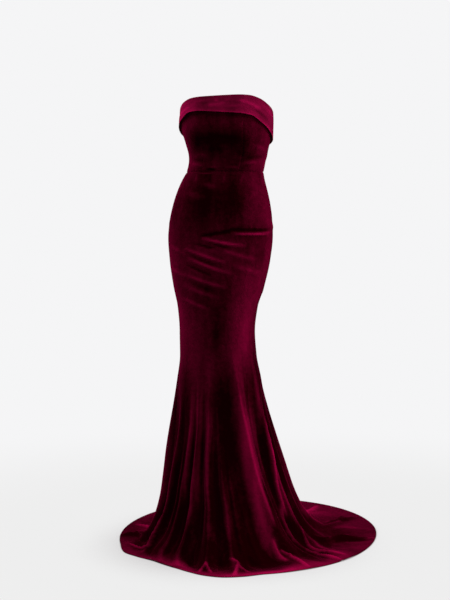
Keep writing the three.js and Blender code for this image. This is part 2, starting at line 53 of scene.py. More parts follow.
# The gown's shape, from the same tables as its solids: one row for each ring, up from the waist for the bodice
# and down to the hem for the skirt. A ring's "square" is 2 for an ellipse, and more for a squarer ring.
def byColumn(columns, rows):
    return dict(zip(columns, zip(*rows)))


ringColumns = ("height", "halfWidth", "front", "back", "shiftX", "shiftY", "square")
bodiceRings = byColumn(ringColumns, (
    (1168, 119.5, 84, 80, 0, 0, 2.15),
    (1194, 119, 87, 80, 6, 0, 2.15),
    (1226, 123, 93, 83, 10, -1, 2.15),
    (1260, 131, 101, 88, 9, -2, 2.2),
    (1300, 139, 107, 94, 6, -3, 2.25),
    (1345, 142, 108, 97, 6, -3, 2.3),
    (1400, 141, 104, 98, 4, -2, 2.3),
))
skirtRings = byColumn(ringColumns + ("turn", "sideSwing"), (
    (1168, 119.5, 84, 80, 0, 0, 2.15, 0, 0),
    (1142, 129, 89, 87, -5, 0, 2.1, 0, 0),
    (1110, 140, 94, 97, -8, 0, 2.1, 0, 0),
    (1065, 152, 100, 110, -11, 1, 2.1, 0, 0),
    (1019, 160, 104, 119, -14, 2, 2.1, 0, 0),
    (965, 164, 106, 123, -16, 2, 2.1, 0, 0),
    (894, 158, 107, 118, -17, 0, 2.05, 0, 1),
    (812, 142, 103, 105, -19, -6, 2, 0, 3),
    (746, 124, 98, 97, -21, -13, 2, 0, 5),
    (674, 117, 94, 97, -21, -18, 2, 0, 8),
    (600, 119, 96, 106, -18, -18, 2, 0, 12),
    (524, 130, 108, 126, -14, -14, 2, 1, 15),
    (455, 139, 122, 150, -11, -10, 2, 1, 18),
    (380, 150, 140, 184, -8, -4, 2, 2, 20),
    (299, 163, 168, 228, -5, 4, 2, 2, 22),
    (224, 178, 198, 272, -1, 12, 2, 2, 23),
    (155, 195, 230, 320, 4, 20, 2, 3, 24),
    (96, 216, 264, 364, 8, 30, 2, 3, 24),
    (48, 243, 302, 402, 12, 44, 2, 3, 24),
    (20, 268, 340, 432, 15, 62, 2, 3, 24),
    (6, 288, 374, 450, 18, 80, 2, 3, 24),
    (0, 312, 418, 468, 22, 104, 2, 3, 24),
    (0, 350, 478, 490, 28, 142, 2, 3, 24),
    (0, 384, 528, 511, 34, 176, 2, 3, 24),
    (0, 413, 564, 532, 38, 202, 2, 3, 24),
))
necklineTable = byColumn(("angle", "top", "bandHem"), (
    (0, 1396, 1347),
    (30, 1396, 1347),
    (46, 1394, 1343),
    (60, 1385, 1324),
    (75, 1368, 1302),
    (90, 1354, 1282),
    (104, 1342, 1269),
    (125, 1327, 1250),
    (150, 1316, 1238),
    (180, 1312, 1232),
))
topTilt = 4.0
bandHemTilt = -8.0
cup = {"x": 74, "height": 1296, "spreadX": 46, "spreadHeight": 48, "depth": 11}
hemTable = byColumn(("angle", "out"), (
    (-180, 0),
    (-60, 0),
    (-46, 7),
    (-37, -11),
    (-27, -31),
    (-17, -25),
    (-11, -10),
    (-5, 9),
    (0, 16),
    (6, 6),
    (13, -12),
    (22, -10),
    (35, -5),
    (55, 0),
    (180, 0),
))
foldColumns = ("topAngle", "footAngle", "top", "width", "depth", "floorReach")
folds = [dict(zip(foldColumns, row)) for row in (
    (-46, -52, 500, 9, 16, 0.8),
    (-30, -34, 540, 8, 17, 0.8),
    (-10, -8, 600, 11, 22, 1),
    (10, 14, 470, 9, 15, 0.9),
    (46, 62, 700, 19, 34, 1.15),
    (84, 92, 600, 11, 28, 1.3),
    (105, 114, 520, 12, 22, 0.8),
    (127, 137, 560, 14, 28, 1.2),
    (150, 161, 600, 15, 26, 1),
    (172, 180, 620, 14, 28, 0.8),
    (-164, -160, 560, 14, 26, 0.9),
    (-142, -140, 610, 15, 28, 0.6),
    (-120, -119, 540, 12, 24, 1.1),
    (-97, -98, 600, 12, 28, 1.2),
    (-72, -76, 520, 9, 20, 0.7),
)]
foldGrowth = 330.0
valleyShare = 0.9
floorBend = 20.0


def pchip(x, y):
    x = np.asarray(x, float)
    y = np.asarray(y, float)
    span = np.diff(x)
    slope = np.diff(y) / span
    tangent = np.zeros_like(y)
    tangent[0], tangent[-1] = slope[0], slope[-1]
    for i in range(1, len(y) - 1):
        before, after = slope[i - 1], slope[i]
        if before * after > 0:
            weightBefore = 2 * span[i] + span[i - 1]
            weightAfter = span[i] + 2 * span[i - 1]
            tangent[i] = (weightBefore + weightAfter) / (weightBefore / before + weightAfter / after)

    def curve(at):
        at = np.clip(np.asarray(at, float), x[0], x[-1])
        i = np.clip(np.searchsorted(x, at) - 1, 0, len(x) - 2)
        t = (at - x[i]) / span[i]
        rise = t * t * (3 - 2 * t)
        pull = t * (1 - t) * (1 - t) * span[i] * tangent[i] - t * t * (1 - t) * span[i] * tangent[i + 1]
        return y[i] + (y[i + 1] - y[i]) * rise + pull

    return curve


def tableCurves(table, along):
    return {name: pchip(table[along], column) for name, column in table.items() if name != along}


def smoothStep(t):
    t = np.clip(t, 0.0, 1.0)
    return t * t * (3 - 2 * t)


def wrapAngle(angle):
    return (angle + 180.0) % 360.0 - 180.0


ringSteps = np.hypot(np.diff(skirtRings["height"]), np.diff(skirtRings["halfWidth"]))
skirtRings["down"] = np.concatenate([[0.0], np.cumsum(ringSteps)])  # millimetres along the cloth from the waist
skirtLength = float(skirtRings["down"][-1])
bodiceCurve = tableCurves(bodiceRings, "height")
skirtCurve = tableCurves(skirtRings, "down")
necklineCurve = tableCurves(necklineTable, "angle")
hemCurve = pchip(hemTable["angle"], hemTable["out"])


def downAt(height):
    heights = np.array(skirtRings["height"], float)
    downs = skirtRings["down"]
    below = int(np.argmax(heights <= height))
    share = (heights[below - 1] - height) / (heights[below - 1] - heights[below])
    return float(downs[below - 1] + share * (downs[below] - downs[below - 1]))


floorStart = downAt(20)


def floorShare(down):
    return np.clip((down - floorStart) / (skirtLength - floorStart), 0.0, 1.0)


def ringPoints(ring, angle, height):
    side = np.sin(np.radians(angle))
    facing = np.cos(np.radians(angle))
    depth = np.where(facing > 0, ring["front"], ring["back"])
    outline = np.abs(side / ring["halfWidth"]) ** ring["square"] + np.abs(facing / depth) ** ring["square"]
    radius = outline ** (-1 / ring["square"])
    turn = np.radians(ring.get("turn", 0.0))
    x, y = radius * side, -radius * facing
    turnedX = x * np.cos(turn) - y * np.sin(turn) + ring["shiftX"]
    turnedY = x * np.sin(turn) + y * np.cos(turn) + ring["shiftY"]
    return np.stack([turnedX, turnedY, height + 0 * x], axis=-1)


def bodicePoints(angle, height):
    points = ringPoints({name: curve(height) for name, curve in bodiceCurve.items()}, angle, height)
    facingFront = smoothStep(np.cos(np.radians(angle)) / 0.5)
    fromCup = (np.abs(points[..., 0]) - cup["x"]) / cup["spreadX"]
    fromLevel = (height - cup["height"]) / cup["spreadHeight"]
    points[..., 1] -= cup["depth"] * facingFront * np.exp(-fromCup ** 2 - fromLevel ** 2)
    return points


def plainSkirtPoints(angle, down):
    ring = {name: curve(down) for name, curve in skirtCurve.items()}
    swung = angle - ring["sideSwing"] * np.sin(np.radians(angle))
    out = hemCurve(wrapAngle(swung)) * floorShare(down) ** 2
    for name in ("halfWidth", "front", "back"):
        ring[name] = ring[name] + out
    return ringPoints(ring, swung, ring["height"])


def normals(surface, angle, along, downwards):
    angleStep, alongStep = 0.4, 1.5
    around = surface(angle + angleStep, along) - surface(angle - angleStep, along)
    down = surface(angle, along + alongStep * downwards) - surface(angle, along - alongStep * downwards)
    normal = np.cross(down, around)
    return normal / np.linalg.norm(normal, axis=-1, keepdims=True)


# Where a fold starts, and the angle of its crest: it leans as it falls, and bends back on the floor.
def foldCourse(fold, down):
    start = downAt(fold["top"])
    share = smoothStep((down - start) / (floorStart - start))
    bent = floorBend * math.sin(math.radians(fold["footAngle"])) * floorShare(down)
    return start, fold["topAngle"] + (fold["footAngle"] - fold["topAngle"]) * share - bent


def foldLift(table, angle, down, valley=0.0):
    hanging = smoothStep(skirtCurve["height"](down) / 90)
    onFloor = floorShare(down)
    lift = np.zeros_like(angle * down)
    meanDepth = np.zeros_like(lift)
    for fold in table:
        start, centre = foldCourse(fold, down)
        grown = smoothStep((down - start) / foldGrowth)
        away = np.minimum(np.abs(wrapAngle(angle - centre)) / fold["width"], 1)
        ridge = np.cos(away * math.pi / 2) ** 2
        fading = 1 - smoothStep(onFloor / fold["floorReach"])
        lift += fold["depth"] * grown * fading * ridge * (0.6 + 0.4 * hanging)
        meanDepth += fold["depth"] * grown * fold["width"] / 360
    return lift - valley * meanDepth * hanging


# Creases that the solids leave out. Each runs from one place on the cloth to another; width is half its
# breadth, and depth is negative for a trough.
creaseColumns = ("angleFrom", "alongFrom", "angleTo", "alongTo", "width", "depth")


def degreeBreadth(surface, angle, along):
    return np.linalg.norm(surface(angle + 0.5, along) - surface(angle - 0.5, along), axis=-1)


def creaseLift(rows, surface, angle, along):
    lift = np.zeros_like(angle * along)
    for row in rows:
        crease = dict(zip(creaseColumns, row))
        midAngle = (crease["angleFrom"] + crease["angleTo"]) / 2
        midAlong = (crease["alongFrom"] + crease["alongTo"]) / 2
        perDegree = degreeBreadth(surface, midAngle, midAlong)
        perStep = np.linalg.norm(surface(midAngle, midAlong + 1) - surface(midAngle, midAlong - 1)) / 2
        runX = (crease["angleTo"] - crease["angleFrom"]) * perDegree
        runY = (crease["alongTo"] - crease["alongFrom"]) * perStep
        x = wrapAngle(angle - crease["angleFrom"]) * perDegree
        y = (along - crease["alongFrom"]) * perStep
        length = math.hypot(runX, runY)
        t = np.clip((x * runX + y * runY) / length ** 2, 0, 1)
        bow = 0.02 * length * np.sin(math.pi * t)
        offX = x - t * runX + bow * runY / length
        offY = y - t * runY - bow * runX / length
        away = np.hypot(offX, offY) / crease["width"]
        fade = np.sin(math.pi * (0.06 + 0.88 * t)) ** 0.8
        lift += crease["depth"] * fade * np.exp(-away ** 2)
    return lift


# Patches of painted light and shade, with some of how the pile lies: lighter or darker ovals on the cloth.
patchColumns = ("angle", "along", "halfAngle", "halfAlong", "amount")


def shadeAndNapPatches(rows, angle, along):
    total = np.zeros_like(angle * along)
    for row in rows:
        patch = dict(zip(patchColumns, row))
        sideways = wrapAngle(angle - patch["angle"]) / patch["halfAngle"]
        upOrDown = (along - patch["along"]) / patch["halfAlong"]
        total += patch["amount"] * np.exp(-sideways ** 2 - upOrDown ** 2)
    return total


# Low waves that no cloth is without: how many, and the most that each turns for every millimetre, in radians.
clothWaves = {"seed": 11, "count": 14, "across": 0.05, "down": 0.022}
waveSource = np.random.default_rng(clothWaves["seed"])
waveTable = [
    (
        waveSource.uniform(-clothWaves["across"], clothWaves["across"]),
        waveSource.uniform(-clothWaves["down"], clothWaves["down"]),
        waveSource.uniform(0, 6.28),
    )
    for _ in range(clothWaves["count"])
]


def softWaves(points, height=0.35):
    around = 0.8 * (points[..., 0] + points[..., 1])
    total = sum(np.sin(across * around + down * points[..., 2] + phase) for across, down, phase in waveTable)
    return height * total / 3


print("shape functions ready")


# A surface from a grid of points: rows from the bottom up, columns counterclockwise seen from above.
# The attribute given last is painted light and shade in the cloth's colour, with some of how the pile lies: 0
# dark, 1 light.
def meshFrom(name, points, paintedShadeAndNap=None):
    rows, columns = points.shape[:2]
    bm = bmesh.new()
    bmesh.ops.create_grid(bm, x_segments=columns - 1, y_segments=rows - 1, size=1)
    mesh = bpy.data.meshes.new(name)
    bm.to_mesh(mesh)
    bm.free()
    placed = (points.reshape(-1, 3) - (0, 0, holdHeight)) * mm
    mesh.vertices.foreach_set("co", placed.ravel())
    mesh.polygons.foreach_set("use_smooth", [True] * len(mesh.polygons))
    if paintedShadeAndNap is not None:
        pile = mesh.attributes.new("paintedShadeAndNap", "FLOAT", "POINT")
        pile.data.foreach_set("value", np.clip(paintedShadeAndNap, 0, 1).astype(np.float32).ravel())
    mesh.update()
    piece = bpy.data.objects.new(name, mesh)
    scene.collection.objects.link(piece)
    return piece


def thicken(piece, thickness, inside):
    shell = piece.modifiers.new("thickness", "SOLIDIFY")
    shell.thickness = thickness * mm
    shell.offset = -1
    shell.use_even_offset = False
    shell.material_offset = 1
    piece.data.materials.append(inside)


# Seams: the cloth turns in at a panel's edge, and puckers a little beside it. Columns are set close there.
seam = {
    "turnIn": 1.1, "turnWidth": 1.9, "pucker": 0.5, "puckerWidth": 7.0,
    "edgeSteps": (0, 0.6, 1.3, 2.2, 3.6, 6.0),
    "waistDegree": 2.1,  # millimetres to a degree, about, along the waist seam
}


def seamDrop(distance, place):
    pucker = 0.6 + 0.4 * np.sin(place * 0.55 + 1.3 * np.sin(place * 0.13))
    turned = seam["turnIn"] * np.exp(-(distance / seam["turnWidth"]) ** 2)
    return -turned - seam["pucker"] * pucker * np.exp(-(distance / seam["puckerWidth"]) ** 2)


# Panels meet edge to edge, apart from where the zip's slit runs.
def closedSeam(alongs):
    return np.zeros(len(alongs))


def panelGrid(fromAngle, toAngle, count, alongs, surface, gapFrom, gapTo):
    perDegree = degreeBreadth(surface, fromAngle, alongs)[:, None]
    perDegreeTo = degreeBreadth(surface, toAngle, alongs)[:, None]
    steps = np.array(seam["edgeSteps"])[None, :]
    start = fromAngle + (gapFrom(alongs)[:, None] / 2 + steps) / perDegree
    end = toAngle - (gapTo(alongs)[:, None] / 2 + steps[:, ::-1]) / perDegreeTo
    inner = np.linspace(0, 1, count + 2)[None, 1:-1]
    middle = start[:, -1:] + (end[:, :1] - start[:, -1:]) * inner
    angle = np.concatenate([start, middle, end], axis=1)
    along = np.broadcast_to(alongs[:, None], angle.shape)
    distance = np.minimum((angle - fromAngle) * perDegree, (toAngle - angle) * perDegreeTo)
    return angle, along, distance


# Materials


# An sRGB hex colour as linear values.
def linear(hexColour):
    values = [int(hexColour[i:i + 2], 16) / 255 for i in (1, 3, 5)]
    return tuple(v / 12.92 if v <= 0.04045 else ((v + 0.055) / 1.055) ** 2.4 for v in values) + (1.0,)


# Adds a node with its settings, its sockets' values and its links.
def addNode(tree, kind, values=None, links=None, **settings):
    node = tree.nodes.new(kind)
    for key, value in settings.items():
        setattr(node, key, value)
    for key, value in (values or {}).items():
        node.inputs[key].default_value = value
    for key, socket in (links or {}).items():
        tree.links.new(socket, node.inputs[key])
    return node


def emptyMaterial(name):
    material = bpy.data.materials.new(name)
    material.use_nodes = True
    material.node_tree.nodes.clear()
    return material, material.node_tree


# Silk velvet: short upright pile on a knit. Seen end on it swallows the light; seen across, at a fold's flank
# or the outline, the pile's sides shine wine red. Streaks where it was brushed are 60 mm broad and three times
# as tall, mottles 13 mm, tufts 4 mm. The pile's grain is drawn at 1.2 mm, coarser than the real 0.3 mm, so
# that it shows. A scale is a number to the metre, and a distance is in metres.
velvetLook = {
    "streaks": {"Scale": 16.0, "Detail": 3.0, "Roughness": 0.6},
    "mottles": {"Scale": 75.0, "Detail": 3.0, "Roughness": 0.6, "Distortion": 0.6},
    "tufts": {"Scale": 250.0, "Detail": 2.0},
    "grain": {"Scale": 800.0, "Detail": 1.0},
    "streakStretch": 0.3, "streakAmount": 0.55, "mottleAmount": 0.3, "contrast": 1.5,
    "brushed": {"Strength": 0.6, "Distance": 0.003},
    "tufted": {"Strength": 0.5, "Distance": 0.0007},
    "grained": {"Strength": 0.5, "Distance": 0.0003},
    "roughness": {"To Min": 0.95, "To Max": 0.7},
    "sheenRoughness": 0.34,
}


def silkVelvet(name, dark, light, sheen):
    look = velvetLook
    material, tree = emptyMaterial(name)
    place = addNode(tree, "ShaderNodeTexCoord").outputs["Object"]
    stretch = {"Scale": (1.0, 1.0, look["streakStretch"])}
    downwards = addNode(tree, "ShaderNodeMapping", stretch, {"Vector": place})
    streaks = addNode(tree, "ShaderNodeTexNoise", look["streaks"], {"Vector": downwards.outputs[0]})
    mottles = addNode(tree, "ShaderNodeTexNoise", look["mottles"], {"Vector": place})
    tufts = addNode(tree, "ShaderNodeTexNoise", look["tufts"], {"Vector": place})
    grain = addNode(tree, "ShaderNodeTexNoise", look["grain"], {"Vector": place})
    paintedShadeAndNap = addNode(tree, "ShaderNodeAttribute", attribute_name="paintedShadeAndNap")
    uneven = []
    for pattern, amount in ((streaks, look["streakAmount"]), (mottles, look["mottleAmount"])):
        about = {1: amount, 2: -amount / 2}
        uneven.append(addNode(tree, "ShaderNodeMath", about, {0: pattern.outputs[0]}, operation="MULTIPLY_ADD"))
    both = {0: uneven[0].outputs[0], 1: uneven[1].outputs[0]}
    mixed = addNode(tree, "ShaderNodeMath", {}, both, operation="ADD")
    # The base colour runs from dark to light with the random streaks and mottles plus the attribute's painted
    # light and shade.
    shadeInputs = {0: mixed.outputs[0], 1: paintedShadeAndNap.outputs["Fac"]}
    toneAndPaintedShade = addNode(tree, "ShaderNodeMath", {}, shadeInputs, operation="ADD", use_clamp=True)
    contrast = addNode(tree, "ShaderNodeMath", {1: look["contrast"]}, {0: toneAndPaintedShade.outputs[0]}, operation="POWER")
    tones = {6: linear(dark), 7: linear(light)}
    colour = addNode(tree, "ShaderNodeMix", tones, {0: contrast.outputs[0]}, data_type="RGBA")
    gloss = addNode(tree, "ShaderNodeMapRange", look["roughness"], {"Value": toneAndPaintedShade.outputs[0]})
    brushed = addNode(tree, "ShaderNodeBump", look["brushed"], {"Height": mottles.outputs[0]})
    overBrushed = {"Height": tufts.outputs[0], "Normal": brushed.outputs[0]}
    tufted = addNode(tree, "ShaderNodeBump", look["tufted"], overBrushed)
    overTufted = {"Height": grain.outputs[0], "Normal": tufted.outputs[0]}
    grained = addNode(tree, "ShaderNodeBump", look["grained"], overTufted)
    shader = addNode(tree, "ShaderNodeBsdfPrincipled", {
        "Sheen Weight": 1.0, "Sheen Roughness": look["sheenRoughness"], "Sheen Tint": linear(sheen),
        "Specular IOR Level": 0.0, "IOR": 1.5,
    }, {"Base Color": colour.outputs[2], "Roughness": gloss.outputs[0], "Normal": grained.outputs[0]})
    addNode(tree, "ShaderNodeOutputMaterial", {}, {"Surface": shader.outputs[0]})
    return material


# The velvet's wrong side: a fine, dull knit, its courses drawn 4 mm apart where the real ones are 0.6 mm.
def knitBacking():
    material, tree = emptyMaterial("polyesterKnitBacking")
    place = addNode(tree, "ShaderNodeTexCoord").outputs["Object"]
    knit = {"Scale": 80.0, "Distortion": 1.2, "Detail": 1.0}
    courses = addNode(tree, "ShaderNodeTexWave", knit, {"Vector": place}, bands_direction="Z")
    patches = addNode(tree, "ShaderNodeTexNoise", {"Scale": 30.0, "Detail": 3.0}, {"Vector": place})
    tones = {6: linear("#3a0818"), 7: linear("#4c0c22")}
    colour = addNode(tree, "ShaderNodeMix", tones, {0: patches.outputs[0]}, data_type="RGBA")
    relief = {"Strength": 0.4, "Distance": 0.0003}
    knitted = addNode(tree, "ShaderNodeBump", relief, {"Height": courses.outputs[0]})
    shader = addNode(tree, "ShaderNodeBsdfPrincipled", {
        "Roughness": 0.9, "Sheen Weight": 0.1, "Specular IOR Level": 0.15,
    }, {"Base Color": colour.outputs[2], "Normal": knitted.outputs[0]})
    addNode(tree, "ShaderNodeOutputMaterial", {}, {"Surface": shader.outputs[0]})
    return material


# Die-cast zinc under baked enamel in the cloth's colour: smooth, with a soft gloss and faint waves 4 mm apart.
def enamelledZinc():
    material, tree = emptyMaterial("enamelledZinc")
    place = addNode(tree, "ShaderNodeTexCoord").outputs["Object"]
    waves = addNode(tree, "ShaderNodeTexNoise", {"Scale": 250.0, "Detail": 2.0}, {"Vector": place})
    tones = {6: linear("#450a1c"), 7: linear("#581026")}
    colour = addNode(tree, "ShaderNodeMix", tones, {0: waves.outputs[0]}, data_type="RGBA")
    gloss = addNode(tree, "ShaderNodeMapRange", {"To Min": 0.22, "To Max": 0.4}, {"Value": waves.outputs[0]})
    cast = addNode(tree, "ShaderNodeBump", {"Strength": 0.3, "Distance": 0.0001}, {"Height": waves.outputs[0]})
    shader = addNode(tree, "ShaderNodeBsdfPrincipled", {
        "IOR": 1.5, "Coat Weight": 0.4, "Coat Roughness": 0.15,
    }, {"Base Color": colour.outputs[2], "Roughness": gloss.outputs[0], "Normal": cast.outputs[0]})
    addNode(tree, "ShaderNodeOutputMaterial", {}, {"Surface": shader.outputs[0]})
    return material


# Woven polyester tape: dull, in a fine twill. Its lines are drawn 2 mm apart, coarser than the real 0.5 mm.
def twillTape():
    material, tree = emptyMaterial("wovenPolyesterTape")
    place = addNode(tree, "ShaderNodeTexCoord").outputs["Object"]
    weave = {"Scale": 160.0, "Distortion": 0.5}
    twill = addNode(tree, "ShaderNodeTexWave", weave, {"Vector": place}, bands_direction="DIAGONAL")
    tones = {6: linear("#36091a"), 7: linear("#4e0e25")}
    colour = addNode(tree, "ShaderNodeMix", tones, {0: twill.outputs[0]}, data_type="RGBA")
    woven = addNode(tree, "ShaderNodeBump", {"Strength": 0.5, "Distance": 0.0002}, {"Height": twill.outputs[0]})
    shader = addNode(tree, "ShaderNodeBsdfPrincipled", {
        "Roughness": 0.75, "Specular IOR Level": 0.3,
    }, {"Base Color": colour.outputs[2], "Normal": woven.outputs[0]})
    addNode(tree, "ShaderNodeOutputMaterial", {}, {"Surface": shader.outputs[0]})
    return material


# Nylon monofilament, wound into a coil and dyed: a little glossy, uneven in shade over 5 mm.
def nylonCoil():
    material, tree = emptyMaterial("nylonMonofilament")
    place = addNode(tree, "ShaderNodeTexCoord").outputs["Object"]
    shade = addNode(tree, "ShaderNodeTexNoise", {"Scale": 200.0, "Detail": 2.0}, {"Vector": place})
    tones = {6: linear("#430b20"), 7: linear("#5a122c")}
    colour = addNode(tree, "ShaderNodeMix", tones, {0: shade.outputs[0]}, data_type="RGBA")
    shader = addNode(tree, "ShaderNodeBsdfPrincipled", {
        "Roughness": 0.55, "IOR": 1.53, "Specular IOR Level": 0.25,
    }, {"Base Color": colour.outputs[2]})
    addNode(tree, "ShaderNodeOutputMaterial", {}, {"Surface": shader.outputs[0]})
    return material


velvet = silkVelvet("silkVelvet", "#170001", "#94063b", "#840739")
# The band's velvet is a lighter copy of the same cloth: painted light, where the band leans out toward the lamp
# above.
litBandVelvet = silkVelvet("silkVelvetPaintedLighterForTheBand", "#340310", "#980a40", "#9c0e4a")
backing = knitBacking()
enamel = enamelledZinc()
tape = twillTape()
coil = nylonCoil()
print("materials ready")


# Bodice panels. Their creases and patches have the columns named above, with heights in millimetres.
bodice = {
    "columnsPerDegree": 0.75,
    "rows": 78, "rowSpan": (8, 144),
    "princess": 37.5,
    "seamRise": 12.0,  # over which the wall turns from level at the waist seam to its own slant
    "underBand": 14.0, "bandFade": 10.0,  # creases end below the band's hem
    "mostLift": 2.2,  # so that the cloth stays under the band
    "creases": (
        (-27, 1174, -9, 1172, 3.5, -2.4), (-24, 1181, -4, 1178, 4, 1), (-62, 1192, -38, 1184, 5, 1.5),
        (-58, 1204, -34, 1199, 5.5, -1.3), (-48, 1221, -26, 1214, 6, 1), (12, 1180, 38, 1178, 4.5, 1.3),
        (34, 1190, 66, 1196, 5.5, 1.5), (44, 1207, 74, 1213, 6, -1.3), (20, 1212, 46, 1206, 7, 0.9),
        (-30, 1236, 8, 1228, 9, -0.9), (-46, 1262, 46, 1260, 15, -1.6), (-70, 1250, -50, 1240, 7, 1.2),
        (56, 1246, 78, 1232, 7, 1.2), (104, 1184, 150, 1180, 5, 1.8), (112, 1200, 158, 1192, 6, -1.5),
        (98, 1216, 138, 1208, 7, 1.3), (-152, 1181, -108, 1187, 5, 1.8), (-160, 1196, -118, 1203, 6, -1.5),
        (-136, 1212, -96, 1221, 7, 1.3),
    ),
    # painted light and shade in the colour: painted highlights at the sides and on the creases' ridges, painted
    # shade in their troughs and at the bust, and painted bands and patches
    "paintedShadeAndNap": {"base": 0.19, "sides": 0.17, "creases": 0.12},
    "paintedShadeLevels": ((1285, 40, -0.02), (1200, 26, 0.08)),  # height, spread, amount
    "patches": (
        (-24, 1264, 22, 20, -0.07), (-42, 1258, 12, 24, -0.13), (10, 1266, 22, 16, -0.04),
        (-20, 1318, 30, 16, 0.05), (24, 1312, 24, 16, 0.05), (-58, 1290, 12, 40, 0.06),
        (44, 1212, 16, 30, -0.2), (-14, 1212, 16, 18, -0.04),
    ),
}


def necklineAt(angle):
    bare = np.abs(wrapAngle(angle))
    left = np.sin(np.radians(angle))
    return necklineCurve["top"](bare) + topTilt * left, necklineCurve["bandHem"](bare) + bandHemTilt * left


def slitWidth(height):
    return zipSlit + sliderSlit["wider"] * np.exp(-((height - sliderSlit["height"]) / sliderSlit["reach"]) ** 2)


# Painted light and shade for the bodice's colour.
def bodicePaintedShade(angle, height):
    look = bodice["paintedShadeAndNap"]
    sideways = np.abs(np.sin(np.radians(angle)))
    creased = creaseLift(bodice["creases"], bodicePoints, angle, height)
    paintedShadeAndNap = look["base"] + look["sides"] * sideways ** 3 + look["creases"] * creased
    paintedShadeAndNap = paintedShadeAndNap + shadeAndNapPatches(bodice["patches"], angle, height)
    for level, spread, amount in bodice["paintedShadeLevels"]:
        paintedShadeAndNap = paintedShadeAndNap + amount * np.exp(-((height - level) / spread) ** 2)
    return paintedShadeAndNap


def bodicePanel(name, node, fromAngle, toAngle, gapFrom, gapTo):
    rise = np.array(seam["edgeSteps"] + tuple(np.linspace(*bodice["rowSpan"], bodice["rows"])))
    count = round((toAngle - fromAngle) * bodice["columnsPerDegree"])
    angle, along, distance = panelGrid(fromAngle, toAngle, count, waistHeight + rise, bodicePoints, gapFrom, gapTo)
    top, bandHem = necklineAt(angle)
    share = (along - along[0]) / (along[-1] - along[0])
    squeezed = along[0] + (along - along[0]) * (1 + share * ((top - along[0]) / (along[-1] - along[0]) - 1))
    squeezed[-1] = top[-1]
    points = bodicePoints(angle, squeezed)
    normal = normals(bodicePoints, angle, squeezed, -1)
    normal[..., 2] *= smoothStep((squeezed - waistHeight) / bodice["seamRise"])
    normal /= np.linalg.norm(normal, axis=-1, keepdims=True)
    bare = 1 - smoothStep((squeezed - bandHem + bodice["underBand"]) / bodice["bandFade"])
    creased = creaseLift(bodice["creases"], bodicePoints, angle, squeezed) + softWaves(points)
    waistSeam = seamDrop(squeezed - waistHeight, angle * seam["waistDegree"]) * smoothStep(distance / 3)
    lift = clothThickness + bare * creased + seamDrop(distance, squeezed) + waistSeam
    lift = np.minimum(lift, clothThickness + bodice["mostLift"] * bare)
    piece = meshFrom(name, points + normal * lift[..., None], bodicePaintedShade(angle, squeezed))
    piece.data.materials.append(velvet)
    thicken(piece, clothThickness, backing)
    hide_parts(node)
    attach(piece, "gown")


princess = bodice["princess"]
bodicePanel("bodiceFrontCentre", "bodice_front_centre", -princess, princess, closedSeam, closedSeam)
bodicePanel("bodiceFrontLeft", "bodice_front_left", princess, 90, closedSeam, closedSeam)
bodicePanel("bodiceFrontRight", "bodice_front_right", -90, -princess, closedSeam, closedSeam)
bodicePanel("bodiceBackLeft", "bodice_back_left", 90, 180, closedSeam, slitWidth)
bodicePanel("bodiceBackRight", "bodice_back_right", 180, 270, slitWidth, closedSeam)
print("bodice ready")


# The band: a doubled strip, folded over the bodice's top edge, standing off a little and rounded at its edges.
# Its creases run from an angle and a share of its height, 0 at the top and 1 at the lower edge, to another.
band = {
    "slit": 1.4, "thickness": 2.0, "tuck": 11.0, "standOff": 6.0, "overTop": 0.3, "foldHeight": 0.85,
    "columnsPerDegree": 0.8, "outerRows": 30, "foldRows": 10, "tuckRows": 6,
    "closeFrom": 140.0, "closeOver": 36.0, "closest": 0.8,  # at the back the zip draws it in
    "wrinkleEnd": 6.0, "edgeRadius": 0.8,
    # painted light and shade in the colour: lighter overall, on the wrinkles' ridges and in patches, and a painted
    # highlight along the lower edge
    "paintedShadeAndNap": {"base": 0.42, "creases": 0.22, "lowerEdgeHighlight": 0.50, "edgeSharpness": 14},
    "creases": (
        (-38, 0.3, -14, 0.24, 0.1, 1), (-20, 0.62, 6, 0.55, 0.12, 1.1), (-8, 0.3, 22, 0.36, 0.1, -0.9),
        (10, 0.66, 38, 0.58, 0.1, 0.9), (28, 0.32, 58, 0.5, 0.11, 1.4), (44, 0.62, 74, 0.72, 0.1, -1.1),
        (60, 0.22, 92, 0.34, 0.1, 1), (-72, 0.6, -44, 0.7, 0.11, 1.2), (-84, 0.28, -52, 0.38, 0.1, -1),
        (104, 0.6, 146, 0.52, 0.12, 1.3), (120, 0.3, 160, 0.26, 0.1, -1), (-150, 0.58, -104, 0.64, 0.12, 1.3),
        (-164, 0.28, -118, 0.34, 0.1, -1),
    ),
    "patches": (
        (-58, 1362, 22, 40, 0.38), (-4, 1384, 4, 5, 0.26), (6, 1378, 5, 6, 0.24), (13, 1384, 4, 5, 0.2),
        (-14, 1370, 4, 5, 0.12), (36, 1382, 6, 4, 0.2), (56, 1362, 5, 8, 0.16), (30, 1376, 5, 12, -0.12),
        (-26, 1378, 9, 12, -0.14), (22, 1360, 9, 10, -0.1), (48, 1350, 12, 26, 0.14),
        (74, 1330, 14, 30, 0.04), (120, 1300, 18, 26, 0.2), (-128, 1300, 18, 26, 0.2),
        (150, 1270, 14, 24, -0.12),
    ),
}


def bandWrinkles(angle, share):
    lift = np.zeros_like(angle * share)
    for angleFrom, shareFrom, angleTo, shareTo, width, depth in band["creases"]:
        t = np.clip((angle - angleFrom) / (angleTo - angleFrom), 0, 1)
        offLine = (share - shareFrom - (shareTo - shareFrom) * t) / width
        pastEnd = (angle - angleFrom - (angleTo - angleFrom) * t) / band["wrinkleEnd"]
        away = np.hypot(offLine, pastEnd)
        lift += depth * np.sin(math.pi * (0.06 + 0.88 * t)) * np.exp(-away ** 2)
    return lift * np.sin(math.pi * np.clip(share, 0, 1)) ** 0.5


def bandSlit(alongs):
    return np.full(len(alongs), band["slit"])


